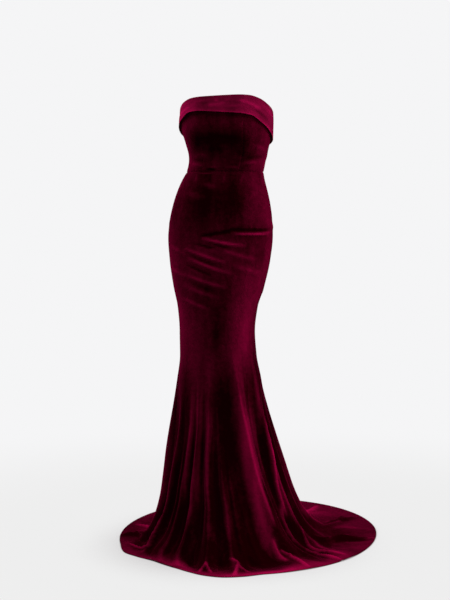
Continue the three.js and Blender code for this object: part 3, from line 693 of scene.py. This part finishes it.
def bandPanel(name, node, fromAngle, toAngle, gapFrom, gapTo):
    count = round((toAngle - fromAngle) * band["columnsPerDegree"])
    angle = panelGrid(fromAngle, toAngle, count, np.array([1310.0]), bodicePoints, gapFrom, gapTo)[0][0]
    top, bandHem = necklineAt(angle)
    outward = normals(bodicePoints, angle, top - 4, -1)
    outward[:, 2] = 0
    outward /= np.linalg.norm(outward, axis=-1, keepdims=True)
    close = 1 - band["closest"] * smoothStep((np.abs(wrapAngle(angle)) - band["closeFrom"]) / band["closeOver"])
    outside = clothThickness + layerGap + band["thickness"] / 2
    inside = -layerGap - band["thickness"] / 2
    foldRadius = (outside - inside) / 2
    edge = top + band["overTop"]
    offsets, heights, wrinkled = [], [], []
    for rise in np.linspace(-band["tuck"], band["overTop"], band["tuckRows"]):
        offsets.append(inside + 0 * angle)
        heights.append(top + rise)
    for bend in np.linspace(math.pi, 0, band["foldRows"] + 1)[1:-1]:
        offsets.append(inside + foldRadius * (1 + math.cos(bend)) + 0 * angle)
        heights.append(edge + band["foldHeight"] * foldRadius * math.sin(bend))
    for share in np.linspace(0, 1, band["outerRows"]):
        wrinkled.append(bandWrinkles(wrapAngle(angle) if fromAngle < 180 else angle - 360, share))
        offsets.append(outside + band["standOff"] * share ** 1.25 * close + wrinkled[-1])
        heights.append(edge + (bandHem + band["thickness"] / 2 - edge) * share)
    offsets, heights = np.array(offsets), np.array(heights)
    under = bodicePoints(angle[None, :], np.minimum(heights, top[None, :]))
    points = under + outward[None, :, :] * offsets[..., None]
    points[..., 2] = heights
    look = band["paintedShadeAndNap"]
    paintedShadeAndNap = look["base"] + shadeAndNapPatches(band["patches"], angle[None, :], heights)
    # A painted highlight along the band's lower edge.
    paintedEdgeHighlight = look["lowerEdgeHighlight"] * np.linspace(0, 1, band["outerRows"])[:, None] ** look["edgeSharpness"]
    paintedShadeAndNap[-band["outerRows"]:] += look["creases"] * np.array(wrinkled) + paintedEdgeHighlight
    piece = meshFrom(name, points[::-1], paintedShadeAndNap[::-1])
    piece.data.materials.append(litBandVelvet)
    doubled = piece.modifiers.new("thickness", "SOLIDIFY")
    doubled.thickness = band["thickness"] * mm
    doubled.offset = 0
    rolled = piece.modifiers.new("rolledEdge", "BEVEL")
    rolled.width = band["edgeRadius"] * mm
    rolled.segments = 3
    rolled.limit_method = "ANGLE"
    rolled.angle_limit = math.radians(50)
    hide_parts(node)
    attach(piece, "gown")


bandPanel("bandFront", "band_front", -90, 90, closedSeam, closedSeam)
bandPanel("bandBackLeft", "band_back_left", 90, 180, closedSeam, bandSlit)
bandPanel("bandBackRight", "band_back_right", 180, 270, bandSlit, closedSeam)
print("band ready")


# Skirt panels. Their folds, creases and patches have the columns named above. A place down the skirt is a
# height in millimetres where it hangs, and a share of the way to the hem, 0 to 1, where it lies on the floor.
skirt = {
    "columnsPerDegree": 0.85, "fittedRows": 100, "flareRows": 90, "floorRows": 42, "zipRows": 3, "hemFold": 16.0,
    "kneeHeight": 660.0, "bendRows": 40.0, "seamRise": 12.0, "fineValleys": 0.5,
    "paintedShadeAndNap": {
        "base": 0.20, "sides": 0.12, "valleys": 0.40, "flareFrom": 620, "flareOver": 200,
        "ridges": 0.34, "ridgeDepth": 26, "fineFolds": 0.14, "fineDepth": 10,
        "creases": 0.12, "creaseRange": (-3.0, 3.4),
        "floorCreases": 0.03, "floorRange": (-9, 9), "floorBelow": 60,
    },
    "crests": {"amount": 0.34, "breadth": 1.7, "late": 60, "fullDepth": 30},
    "fineFolds": (
        (-60, -65, 420, 3.6, 5, 0.5),
        (-39, -43, 470, 3.4, 5, 0.5),
        (-24, -26, 500, 3, 5, 0.4),
        (-17, -19, 420, 2.8, 4, 0.4),
        (-3, -1, 520, 3.6, 5, 0.5),
        (4, 6, 380, 3, 4, 0.5),
        (22, 25, 440, 3.6, 4, 0.5),
        (30, 37, 400, 3.2, 3, 0.4),
        (55, 71, 430, 3.4, 5, 0.9),
        (72, 81, 480, 3.4, 6, 0.8),
        (96, 101, 460, 3, 5, 0.5),
        (114, 124, 420, 3.6, 5, 0.6),
        (139, 148, 470, 4, 6, 0.5),
        (160, 170, 430, 3.8, 5, 0.6),
        (-172, -171, 480, 4, 6, 0.5),
        (-153, -150, 430, 3.6, 5, 0.7),
        (-131, -129, 470, 3.8, 6, 0.5),
        (-108, -108, 430, 3.4, 5, 0.6),
        (-86, -87, 500, 3.4, 6, 0.5),
    ),
    "creases": (
        # under the stomach and over the hips
        (-18, 970, 42, 991, 4.2, -4.4), (28, 990, 82, 989, 4, -3.8), (34, 976, 82, 979, 3, 4.2),
        (-18, 961, 48, 939, 3.8, 4.4), (-6, 952, 30, 930, 4.5, -1.8),
        # drag lines over the thighs
        (-30, 946, 4, 932, 4.2, -2.6), (-44, 929, 20, 889, 4.2, 4), (-38, 909, 8, 878, 4.2, -2.2),
        (-38, 897, 32, 854, 4.6, 3.7), (-42, 880, -2, 850, 4.4, -2.4), (-50, 851, 26, 811, 5, 3.2),
        (-38, 826, 8, 799, 5.2, -1.4), (-52, 816, 12, 780, 5.6, 2), (-56, 776, -6, 746, 6, 2.2),
        (20, 924, 62, 898, 5.5, 2.2), (34, 880, 72, 855, 6.5, 1.8), (-70, 938, -46, 916, 6, 2),
        (-74, 872, -50, 846, 6.5, 2),
        # below the waist seam
        (-44, 1158, -38, 1128, 4, 1.2), (-16, 1160, -13, 1134, 4, -1), (14, 1160, 12, 1130, 4, 1),
        (46, 1158, 40, 1124, 4.5, 1.2), (-30, 1130, 0, 1118, 8, 1.2), (-52, 1100, -18, 1086, 9, 1.4),
        # back and sides
        (106, 908, 150, 890, 7, 2.6), (112, 884, 158, 864, 7.5, -2.2), (104, 862, 146, 838, 7, 2.4),
        (128, 834, 168, 818, 8, 2), (98, 800, 134, 770, 8, 2), (-152, 892, -108, 912, 7, 2.6),
        (-160, 866, -114, 888, 7.5, -2.2), (-148, 842, -104, 866, 7, 2.4), (-170, 816, -128, 838, 8, 2),
        (-134, 772, -98, 802, 8, 2), (140, 1120, 172, 1100, 8, 1.8), (-172, 1098, -140, 1122, 8, 1.8),
        (82, 1010, 112, 990, 8, 1.8), (-112, 992, -82, 1012, 8, 1.8),
        # where the folds meet the floor
        (-8, 0.14, -12, 0.72, 4, 8), (-8, 0.14, -4.5, 0.68, 4, 8), (-24, 34, -18, 0.22, 12, -8),
        (17, 0.06, 7, 0.84, 4, 8), (17, 0.06, 18, 0.58, 4, 7), (12, 24, 18, 0.08, 4.5, 7),
        (0, 28, 2, 0.16, 9, -6), (26, 30, 30, 0.2, 14, -8), (-80, 120, -75, 44, 6, 8),
        (-76, 58, -72, 0.08, 6, 10), (-72, 0.02, -81, 0.66, 5, 9), (-92, 50, -90, 0.2, 12, -8),
        (-96, 30, -107, 0.56, 7, 9), (-107, 0.36, -96, 1, 8, 10), (54, 60, 50, 0.26, 5, 8),
        (55, 30, 57, 0.16, 3.5, 8), (57, 0.1, 47, 0.9, 4, 9), (85, 150, 79, 36, 4.5, 8),
        (79, 52, 80, 0.28, 4.5, 9), (80, 0.2, 66, 0.99, 4, 9), (98, 520, 88, 270, 3, 3.5),
        (88.5, 310, 86, 120, 3, 3.5), (92, 70, 76, 0.8, 4.5, 7), (133, 10, 146, 0.62, 10, 13),
        (147, 0.3, 144, 0.9, 9, 12), (107, 30, 110, 0.66, 10, 14), (110, 0.2, 108, 0.94, 9.5, 12),
        (74, 0.02, 64, 0.52, 15, 12), (160, 0, 164, 0.85, 9, 8), (170, 0, 172, 0.7, 12, -6),
        (-174, 0.05, -176, 0.75, 9, 9), (-164, 0, -162, 0.8, 12, -7), (-152, 0, -148, 0.9, 8, 9),
        (-140, 0, -134, 0.75, 11, -7), (-128, 0, -120, 0.8, 8, 8),
    ),
    # lines of painted shade (below nought) and painted highlight, in the creases' own columns
    "paintedShadeLines": (
        (128, 60, 134, 0.12, 12, -1.2), (131, 10, 146, 0.6, 16, -1.6), (146, 0.3, 143, 0.9, 14, -1.5),
        (111, 110, 107, 6, 11, -1.2), (107, 20, 110, 0.5, 16, -1.5), (110, 0.25, 108, 0.88, 15, -1.5),
        (-90, 60, -107, 0.56, 10, -1), (-107, 0.36, -96, 1, 12, -1.2), (-82, 60, -90, 0.36, 10, -0.8),
        (74, 30, 63, 0.56, 20, -1.6), (64, 120, 61, 0.3, 9, -0.7), (104, 300, 106, 10, 13, -0.5),
        (40, 30, 46, 0.42, 9, -0.9), (-42, 1163, -10, 1163, 1.6, 0.34), (64, 250, 65, 60, 10, -0.42),
        (86, 460, 82, 150, 7, -0.36), (108, 520, 97, 240, 9, -0.6), (97, 320, 98, 90, 9, -0.6),
        (98, 520, 88, 270, 2.2, 0.45), (88.5, 310, 86, 110, 2.2, 0.45), (54, 260, 54, 50, 7, 0.3),
        (-47, 500, -44, 160, 3, 0.16), (-38, 520, -36, 120, 3.5, -0.16), (-33, 480, -28, 180, 2.6, 0.18),
        (-20, 500, -18, 140, 3.5, -0.16), (-8, 440, -8, 150, 2.6, 0.14), (-1, 420, -1, 100, 4, -0.16),
        (9, 330, 12, 90, 2.6, 0.12), (70, 520, 76, 260, 3, 0.14), (64, 560, 68, 300, 4, -0.12),
        (-16, 964, 44, 943, 3, 0.22), (36, 977, 80, 979, 2.4, 0.25), (164, 0.1, 170, 0.8, 9, -0.5),
        (-168, 0.1, -166, 0.8, 9, -0.5), (-144, 0.1, -140, 0.8, 9, -0.5),
    ),
    # patches of painted light and shade, as ovals
    "patches": (
        (0, 1072, 46, 60, -0.19), (-24, 1160, 12, 14, -0.1), (78, 1050, 14, 70, 0.06),
        (30, 1090, 16, 60, -0.08), (20, 930, 54, 34, 0.12), (8, 870, 54, 60, 0.14), (62, 790, 22, 130, 0.2),
        (58, 940, 22, 50, -0.12), (-62, 720, 22, 130, 0.2), (-30, 650, 18, 120, 0.12),
        (14, 650, 10, 62, -0.16), (-38, 520, 17, 100, 0.2), (-28, 425, 18, 80, 0.17), (-46, 380, 8, 80, 0.1),
        (66, 885, 14, 60, -0.1), (46, 600, 18, 70, 0.06), (14, 460, 9, 90, -0.14), (6, 220, 8, 130, -0.22),
        (22, 330, 9, 120, -0.22), (38, 200, 6, 100, -0.22), (37, 80, 5, 80, -0.22), (47, 60, 4.5, 60, 0.18),
        (61, 60, 6, 70, -0.6), (94, 60, 8, 60, -0.5), (-11, 70, 3.5, 60, -0.3), (-8, 0.45, 6, 40, -0.44),
        (26, 0.78, 16, 36, 0.4), (-26, 0.28, 9, 30, 0.36), (66, 0.1, 8, 40, -0.3), (14, 0.5, 7, 40, -0.2),
        (58, 460, 13, 110, 0.16), (48, 330, 6, 130, 0.28), (50, 130, 4, 90, 0.3), (67, 170, 7, 140, -0.24),
        (-8, 190, 9, 160, -0.28), (-46, 100, 13, 90, -0.22), (-60, 200, 10, 130, -0.14),
        (-8, 560, 14, 60, 0.12), (-82, 80, 14, 60, -0.4), (-28, 240, 2.4, 160, 0.14),
        (-46, 260, 2.4, 160, 0.14), (100, 420, 11, 150, -0.42), (98, 230, 9, 120, -0.34),
        (84, 470, 3, 120, 0.2), (112, 300, 16, 200, -0.28), (108, 90, 14, 80, -0.3), (-64, 330, 9, 170, -0.2),
        (-62, 110, 12, 80, -0.22), (-28, 66, 14, 60, -0.26), (-14, 30, 14, 44, -0.28), (8, 60, 9, 60, -0.14),
        (26, 44, 12, 60, -0.34), (38, 24, 8, 50, -0.2), (78, 0.06, 7, 70, -0.3), (-94, 0.06, 14, 90, -0.5),
        (124, 0.02, 15, 60, -0.3), (140, 0.5, 40, 160, -0.08), (-34, 0.8, 44, 40, 0.36),
        (34, 0.85, 44, 40, 0.5), (-40, 0.36, 20, 40, 0.42), (52, 900, 18, 60, -0.05), (70, 664, 12, 70, 0.24),
        (66, 1070, 12, 60, 0.1), (54, 480, 11, 100, -0.26), (-74, 1040, 14, 70, -0.2),
        (-70, 24, 16, 50, -0.2), (10, 560, 20, 80, 0.08), (72, 420, 8, 80, 0.18), (-2, 330, 16, 110, 0.08),
        (98, 620, 18, 120, -0.1), (96, 0.7, 22, 60, 0.1), (180, 1080, 40, 60, -0.12),
        (172, 885, 60, 66, 0.15), (-150, 700, 20, 120, 0.16), (142, 640, 18, 110, 0.14),
        (-176, 460, 9, 130, -0.16), (150, 300, 7, 130, 0.22), (-158, 300, 7, 140, 0.22),
        (136, 220, 7, 130, -0.16), (-130, 300, 9, 140, -0.18), (-112, 230, 7, 120, 0.14),
        (176, 110, 9, 90, -0.2), (-150, 0.5, 20, 60, 0.08), (160, 0.6, 20, 60, 0.06),
    ),
    # fine streaks down the flare, all round
    "streaks": {
        "seed": 23, "every": 7.0, "lean": (-3, 3), "top": (430, 600), "foot": (70, 220),
        "width": (2.2, 5.0), "amount": (-0.16, 0.13),
    },
}


def downTo(place):
    return downAt(place) if place > 1 else floorStart + place * (skirtLength - floorStart)


def onSkirt(columns, rows):
    return [
        tuple(downTo(value) if column.startswith("along") else value for column, value in zip(columns, row))
        for row in rows
    ]


def fineStreaks():
    streaks = skirt["streaks"]
    source = np.random.default_rng(streaks["seed"])
    rows = []
    for place in np.arange(-176, 180, streaks["every"]):
        lean = place + source.uniform(*streaks["lean"])
        top = source.uniform(*streaks["top"])
        footAngle = lean + source.uniform(*streaks["lean"])
        foot = source.uniform(*streaks["foot"])
        width, amount = source.uniform(*streaks["width"]), source.uniform(*streaks["amount"])
        rows.append((lean, top, footAngle, foot, width, amount))
    return tuple(rows)


fineFolds = [dict(zip(foldColumns, row)) for row in skirt["fineFolds"]]
skirtCreases = onSkirt(creaseColumns, skirt["creases"])
# Lines of painted shade and painted highlight, together with the random fine streaks of tone.
paintedShadeAndStreakLines = onSkirt(creaseColumns, skirt["paintedShadeLines"] + fineStreaks())
skirtPatches = onSkirt(patchColumns, skirt["patches"])


# A painted highlight along each fold's crest, as a thin line, stronger for a deeper fold.
def paintedCrestHighlights(table, angle, down):
    crest = skirt["crests"]
    total = np.zeros_like(angle * down)
    for fold in table:
        start, centre = foldCourse(fold, down)
        fading = 1 - smoothStep(floorShare(down) / fold["floorReach"])
        shown = smoothStep((down - start - crest["late"]) / foldGrowth) * fading
        away = wrapAngle(angle - centre) / crest["breadth"]
        total += fold["depth"] / crest["fullDepth"] * shown * np.exp(-away ** 2)
    return total


def skirtRowPlaces():
    knee, bend = downAt(skirt["kneeHeight"]), floorStart - skirt["bendRows"]
    fitted = np.linspace(8, knee, skirt["fittedRows"])
    flare = np.linspace(knee, bend, skirt["flareRows"] + 1)[1:]
    floor = np.linspace(bend, skirtLength, skirt["floorRows"] + 1)[1:]
    return np.concatenate([seam["edgeSteps"], fitted, flare, floor])


zipEnd = downAt(640) * skirt["zipRows"] / 9  # where the solids' slit ends


def backGap(down):
    return zipSlit - zipSlit * smoothStep((down - zipEnd) / 20)


# Painted light and shade in the skirt's colour: painted highlights along the folds' crests, on the sides and where
# the cloth drags, painted shade over the stomach and in the valleys.
def skirtPaintedShade(angle, down):
    look = skirt["paintedShadeAndNap"]
    height = skirtCurve["height"](down)
    lying = floorShare(down)
    sideways = np.abs(np.sin(np.radians(angle)))
    flared = smoothStep((look["flareFrom"] - height) / look["flareOver"])
    nearFloor = smoothStep((look["floorBelow"] - height) / look["floorBelow"])
    ridges = foldLift(folds, angle, down) / look["ridgeDepth"] - look["valleys"] * flared
    creased = creaseLift(skirtCreases, plainSkirtPoints, angle, down)
    paintedShadeAndNap = look["base"] + look["sides"] * sideways ** 3 * (1 - flared)
    paintedShadeAndNap += look["ridges"] * ridges * (1 - 0.5 * lying)
    paintedShadeAndNap += look["fineFolds"] * foldLift(fineFolds, angle, down) / look["fineDepth"]
    paintedShadeAndNap += look["creases"] * np.clip(creased, *look["creaseRange"])
    paintedShadeAndNap += look["floorCreases"] * np.clip(creased, *look["floorRange"]) * nearFloor
    paintedShadeAndNap += creaseLift(paintedShadeAndStreakLines, plainSkirtPoints, angle, down)
    paintedShadeAndNap += skirt["crests"]["amount"] * paintedCrestHighlights(folds, angle, down)
    return paintedShadeAndNap + shadeAndNapPatches(skirtPatches, angle, down)


def skirtPanel(name, node, fromAngle, toAngle, gapFrom, gapTo):
    downs = skirtRowPlaces()[::-1].copy()
    count = round((toAngle - fromAngle) * skirt["columnsPerDegree"])
    angle, down, distance = panelGrid(fromAngle, toAngle, count, downs, plainSkirtPoints, gapFrom, gapTo)
    points = plainSkirtPoints(angle, down)
    normal = normals(plainSkirtPoints, angle, np.minimum(down, skirtLength - 2), 1)
    normal[..., 2] *= smoothStep(down / skirt["seamRise"])
    normal /= np.linalg.norm(normal, axis=-1, keepdims=True)
    lying = floorShare(down)
    lift = foldLift(folds, angle, down, valleyShare) + foldLift(fineFolds, angle, down, skirt["fineValleys"])
    lift += creaseLift(skirtCreases, plainSkirtPoints, angle, down)
    lift += softWaves(points, 0.5) * (1 - 0.5 * smoothStep(lying * 4)) * smoothStep(down / 30)
    lift += clothThickness + seamDrop(distance, down) * (1 - 0.5 * lying)
    lift += seamDrop(down, angle * seam["waistDegree"]) * smoothStep(distance / 3)
    lift -= 0.6 * np.exp(-((skirtLength - skirt["hemFold"] - down) / 2.0) ** 2)  # the hem's stitching pulls in
    points = points + normal * lift[..., None]
    points[..., 2] = np.maximum(points[..., 2], clothThickness + 0.1)
    piece = meshFrom(name, points, skirtPaintedShade(angle, down))
    piece.data.materials.append(velvet)
    thicken(piece, clothThickness, backing)
    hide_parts(node)
    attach(piece, "gown")


skirtPanel("skirtFront", "skirt_front", -90, 90, closedSeam, closedSeam)
skirtPanel("skirtBackLeft", "skirt_back_left", 90, 180, closedSeam, backGap)
skirtPanel("skirtBackRight", "skirt_back_right", 180, 270, backGap, closedSeam)
print("skirt ready")


# The zip: two woven tapes and a coil inside the slit. The slider and its pull keep their solids.
zipParts = {
    "tapeFrom": 1.2, "tapeTo": 11.0, "tapeThickness": 0.6, "tapeTop": 1300.0, "gap": 0.9,
    "coilTop": 1283.0, "pitch": 1.5, "loop": (4.2, 0.95, 1.75), "sideStep": 0.7, "coilDepth": 0.3,
    "edgeRadius": 0.25,  # on the slider and the pull
}


def zipLine(topHeight):
    heights = np.linspace(topHeight, waistHeight + 0.5, 60)
    downs = np.linspace(1, zipEnd, 80)
    line = np.concatenate([bodicePoints(180.0, heights), plainSkirtPoints(180.0, downs)])
    side = np.concatenate([bodicePoints(179.5, heights), plainSkirtPoints(179.5, downs)]) - line
    side /= np.linalg.norm(side, axis=-1, keepdims=True)
    run = np.gradient(line, axis=0)
    run /= np.linalg.norm(run, axis=-1, keepdims=True)
    out = np.cross(run, side)
    out *= np.where(out[:, 1:2] < 0, -1, 1)
    return line, side, out / np.linalg.norm(out, axis=-1, keepdims=True)


def zipTapes():
    line, side, out = zipLine(zipParts["tapeTop"])
    deep = line - out * (zipParts["gap"] + zipParts["tapeThickness"] / 2)
    across = np.linspace(zipParts["tapeFrom"], zipParts["tapeTo"], 4)
    for name, places in (("zipTapeLeft", across), ("zipTapeRight", -across[::-1])):
        piece = meshFrom(name, np.stack([deep + side * place for place in places], axis=1))
        piece.data.materials.append(tape)
        woven = piece.modifiers.new("thickness", "SOLIDIFY")
        woven.thickness = zipParts["tapeThickness"] * mm
        woven.offset = 0
        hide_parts("zip_chain")
        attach(piece, "gown")


# The coil shows as one small rounded loop of filament after another, from the two sides in turn.
def zipCoil():
    line, side, out = zipLine(zipParts["coilTop"])
    lengths = np.concatenate([[0], np.cumsum(np.linalg.norm(np.diff(line, axis=0), axis=-1))])
    bm = bmesh.new()
    width, deep, tall = zipParts["loop"]
    for k, distance in enumerate(np.arange(2, lengths[-1] - 3, zipParts["pitch"])):
        i = min(int(np.searchsorted(lengths, distance)), len(line) - 1)
        run = np.cross(side[i], out[i])
        sideStep = zipParts["sideStep"] if k % 2 else -zipParts["sideStep"]
        centre = line[i] + side[i] * sideStep - out[i] * (zipParts["gap"] + zipParts["coilDepth"])
        loop = bmesh.ops.create_icosphere(bm, subdivisions=1, radius=1)["verts"]
        turned = Matrix((side[i] * width / 2, out[i] * deep / 2, run * tall / 2)).transposed().to_4x4()
        placed = Matrix.Translation(centre - np.array((0, 0, holdHeight))) @ turned
        bmesh.ops.transform(bm, matrix=placed, verts=loop)
    bmesh.ops.scale(bm, vec=(mm, mm, mm), verts=bm.verts)
    bmesh.ops.recalc_face_normals(bm, faces=bm.faces)
    for face in bm.faces:
        face.smooth = True
    mesh = bpy.data.meshes.new("zipCoil")
    bm.to_mesh(mesh)
    bm.free()
    piece = bpy.data.objects.new("zipCoil", mesh)
    scene.collection.objects.link(piece)
    piece.data.materials.append(coil)
    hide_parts("zip_chain")
    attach(piece, "gown")


zipTapes()
zipCoil()
for node in ("zip_slider", "zip_pull"):
    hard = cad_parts[node]
    hard.data.materials.clear()
    hard.data.materials.append(enamel)
    rounding = hard.modifiers.new("rounding", "BEVEL")
    rounding.width = zipParts["edgeRadius"] * mm
    rounding.segments = 2
    rounding.limit_method = "ANGLE"
    rounding.angle_limit = math.radians(35)
print("zip ready")


# Floor, light and camera. The floor and the backdrop are pale for the camera and dim for the cloth, so that the
# lamps light it. The floor that the camera sees glows, with a painted contact shadow round the gown.
studio = {
    "floorSize": 30.0, "backdrop": "#f5f5f6", "floorColour": "#eeeeee", "fadeFrom": 0.75, "fadeTo": 2.4,
    "contactShade": "#85797c", "shadeReach": 0.26, "shadeFalloff": 1.6, "surroundings": 0.16,
    "lampColumns": ("name", "place", "aim", "size", "power", "spread"),
    "lamps": (
        ("above", (-0.3, -1.0, 2.4), (0, 0, -0.3), (1.8, 1.4), 55, 180),
        ("leftEdge", (-2.5, 0.9, 0.5), (0, 0, -0.25), (1.0, 1.8), 22, 90),
        ("rightEdge", (2.5, 0.5, 0.5), (0, 0, -0.3), (1.2, 1.8), 23, 90),
        ("rightFront", (2.3, -2.4, -0.1), (0, 0, -0.6), (0.9, 2.0), 25, 180),
        ("behind", (-0.4, 3.0, 1.4), (0, 0.2, -0.7), (2.4, 1.6), 44, 180),
    ),
}


def matteFloorPaint():
    material, tree = emptyMaterial("mattePaleFloor")
    place = addNode(tree, "ShaderNodeTexCoord").outputs["Object"]
    distance = addNode(tree, "ShaderNodeVectorMath", {}, {0: place}, operation="LENGTH")
    fade = {"From Min": studio["fadeFrom"], "From Max": studio["fadeTo"]}
    away = {"Value": distance.outputs["Value"]}
    far = addNode(tree, "ShaderNodeMapRange", fade, away, interpolation_type="SMOOTHSTEP")
    tones = {6: linear(studio["floorColour"]), 7: linear(studio["backdrop"])}
    pale = addNode(tree, "ShaderNodeMix", tones, {0: far.outputs[0]}, data_type="RGBA")
    # Painted contact shadow: ambient occlusion darkens the floor's glow near the gown.
    covered = addNode(tree, "ShaderNodeAmbientOcclusion", {"Distance": studio["shadeReach"]}, samples=12)
    falloff = {1: studio["shadeFalloff"]}
    clearance = addNode(tree, "ShaderNodeMath", falloff, {0: covered.outputs["AO"]}, operation="POWER")
    shade, overPale = {6: linear(studio["contactShade"])}, {0: clearance.outputs[0], 7: pale.outputs[2]}
    shaded = addNode(tree, "ShaderNodeMix", shade, overPale, data_type="RGBA")
    seen = addNode(tree, "ShaderNodeEmission", {"Strength": 1.0}, {"Color": shaded.outputs[2]})
    dim = addNode(tree, "ShaderNodeBsdfDiffuse", {"Color": linear("#6e6e6e"), "Roughness": 0.8})
    eye = addNode(tree, "ShaderNodeLightPath")
    either = {0: eye.outputs["Is Camera Ray"], 1: dim.outputs[0], 2: seen.outputs[0]}
    both = addNode(tree, "ShaderNodeMixShader", {}, either)
    addNode(tree, "ShaderNodeOutputMaterial", {}, {"Surface": both.outputs[0]})
    return material


bm = bmesh.new()
bmesh.ops.create_grid(bm, x_segments=1, y_segments=1, size=studio["floorSize"] / 2)
floorMesh = bpy.data.meshes.new("floor")
bm.to_mesh(floorMesh)
bm.free()
floor = bpy.data.objects.new("floor", floorMesh)
floor.location = (0.04, 0.15, -holdHeight * mm - 0.0004)
floor.data.materials.append(matteFloorPaint())
scene.collection.objects.link(floor)

world = bpy.data.worlds.new("paleStudio")
world.use_nodes = True
world.node_tree.nodes.clear()
sky = world.node_tree
seenSky = addNode(sky, "ShaderNodeBackground", {"Color": linear(studio["backdrop"]), "Strength": 1.0})
litSky = addNode(sky, "ShaderNodeBackground", {"Color": linear("#ffffff"), "Strength": studio["surroundings"]})
skyEye = addNode(sky, "ShaderNodeLightPath")
eitherSky = {0: skyEye.outputs["Is Camera Ray"], 1: litSky.outputs[0], 2: seenSky.outputs[0]}
bothSkies = addNode(sky, "ShaderNodeMixShader", {}, eitherSky)
addNode(sky, "ShaderNodeOutputWorld", {}, {"Surface": bothSkies.outputs[0]})
scene.world = world
scene.view_settings.view_transform = "Standard"

for row in studio["lamps"]:
    lamp = dict(zip(studio["lampColumns"], row))
    light = bpy.data.lights.new(lamp["name"], "AREA")
    light.shape = "RECTANGLE"
    light.size, light.size_y = lamp["size"]
    light.energy = lamp["power"]
    light.spread = math.radians(lamp["spread"])  # a grid on the softbox narrows it
    softbox = bpy.data.objects.new(lamp["name"], light)
    softbox.location = lamp["place"]
    facing = Vector(lamp["aim"]) - Vector(lamp["place"])
    softbox.rotation_euler = facing.to_track_quat("-Z", "Y").to_euler()
    scene.collection.objects.link(softbox)

# A level camera, with the frame shifted down.
view = {"azimuth": 12.0, "distance": 4.2, "height": 1.0, "lens": 80.5, "shift": -0.1233}
cameraData = bpy.data.cameras.new("camera")
cameraData.sensor_width = 36.0
cameraData.lens = view["lens"]
cameraData.shift_y = view["shift"]
camera = bpy.data.objects.new("camera", cameraData)
turn = math.radians(view["azimuth"])
sideways, ahead = view["distance"] * math.sin(turn), view["distance"] * math.cos(turn)
camera.location = (sideways, -ahead, view["height"] - holdHeight * mm)
camera.rotation_euler = (math.radians(90), 0, turn)
scene.collection.objects.link(camera)
scene.camera = camera
print("studio ready")
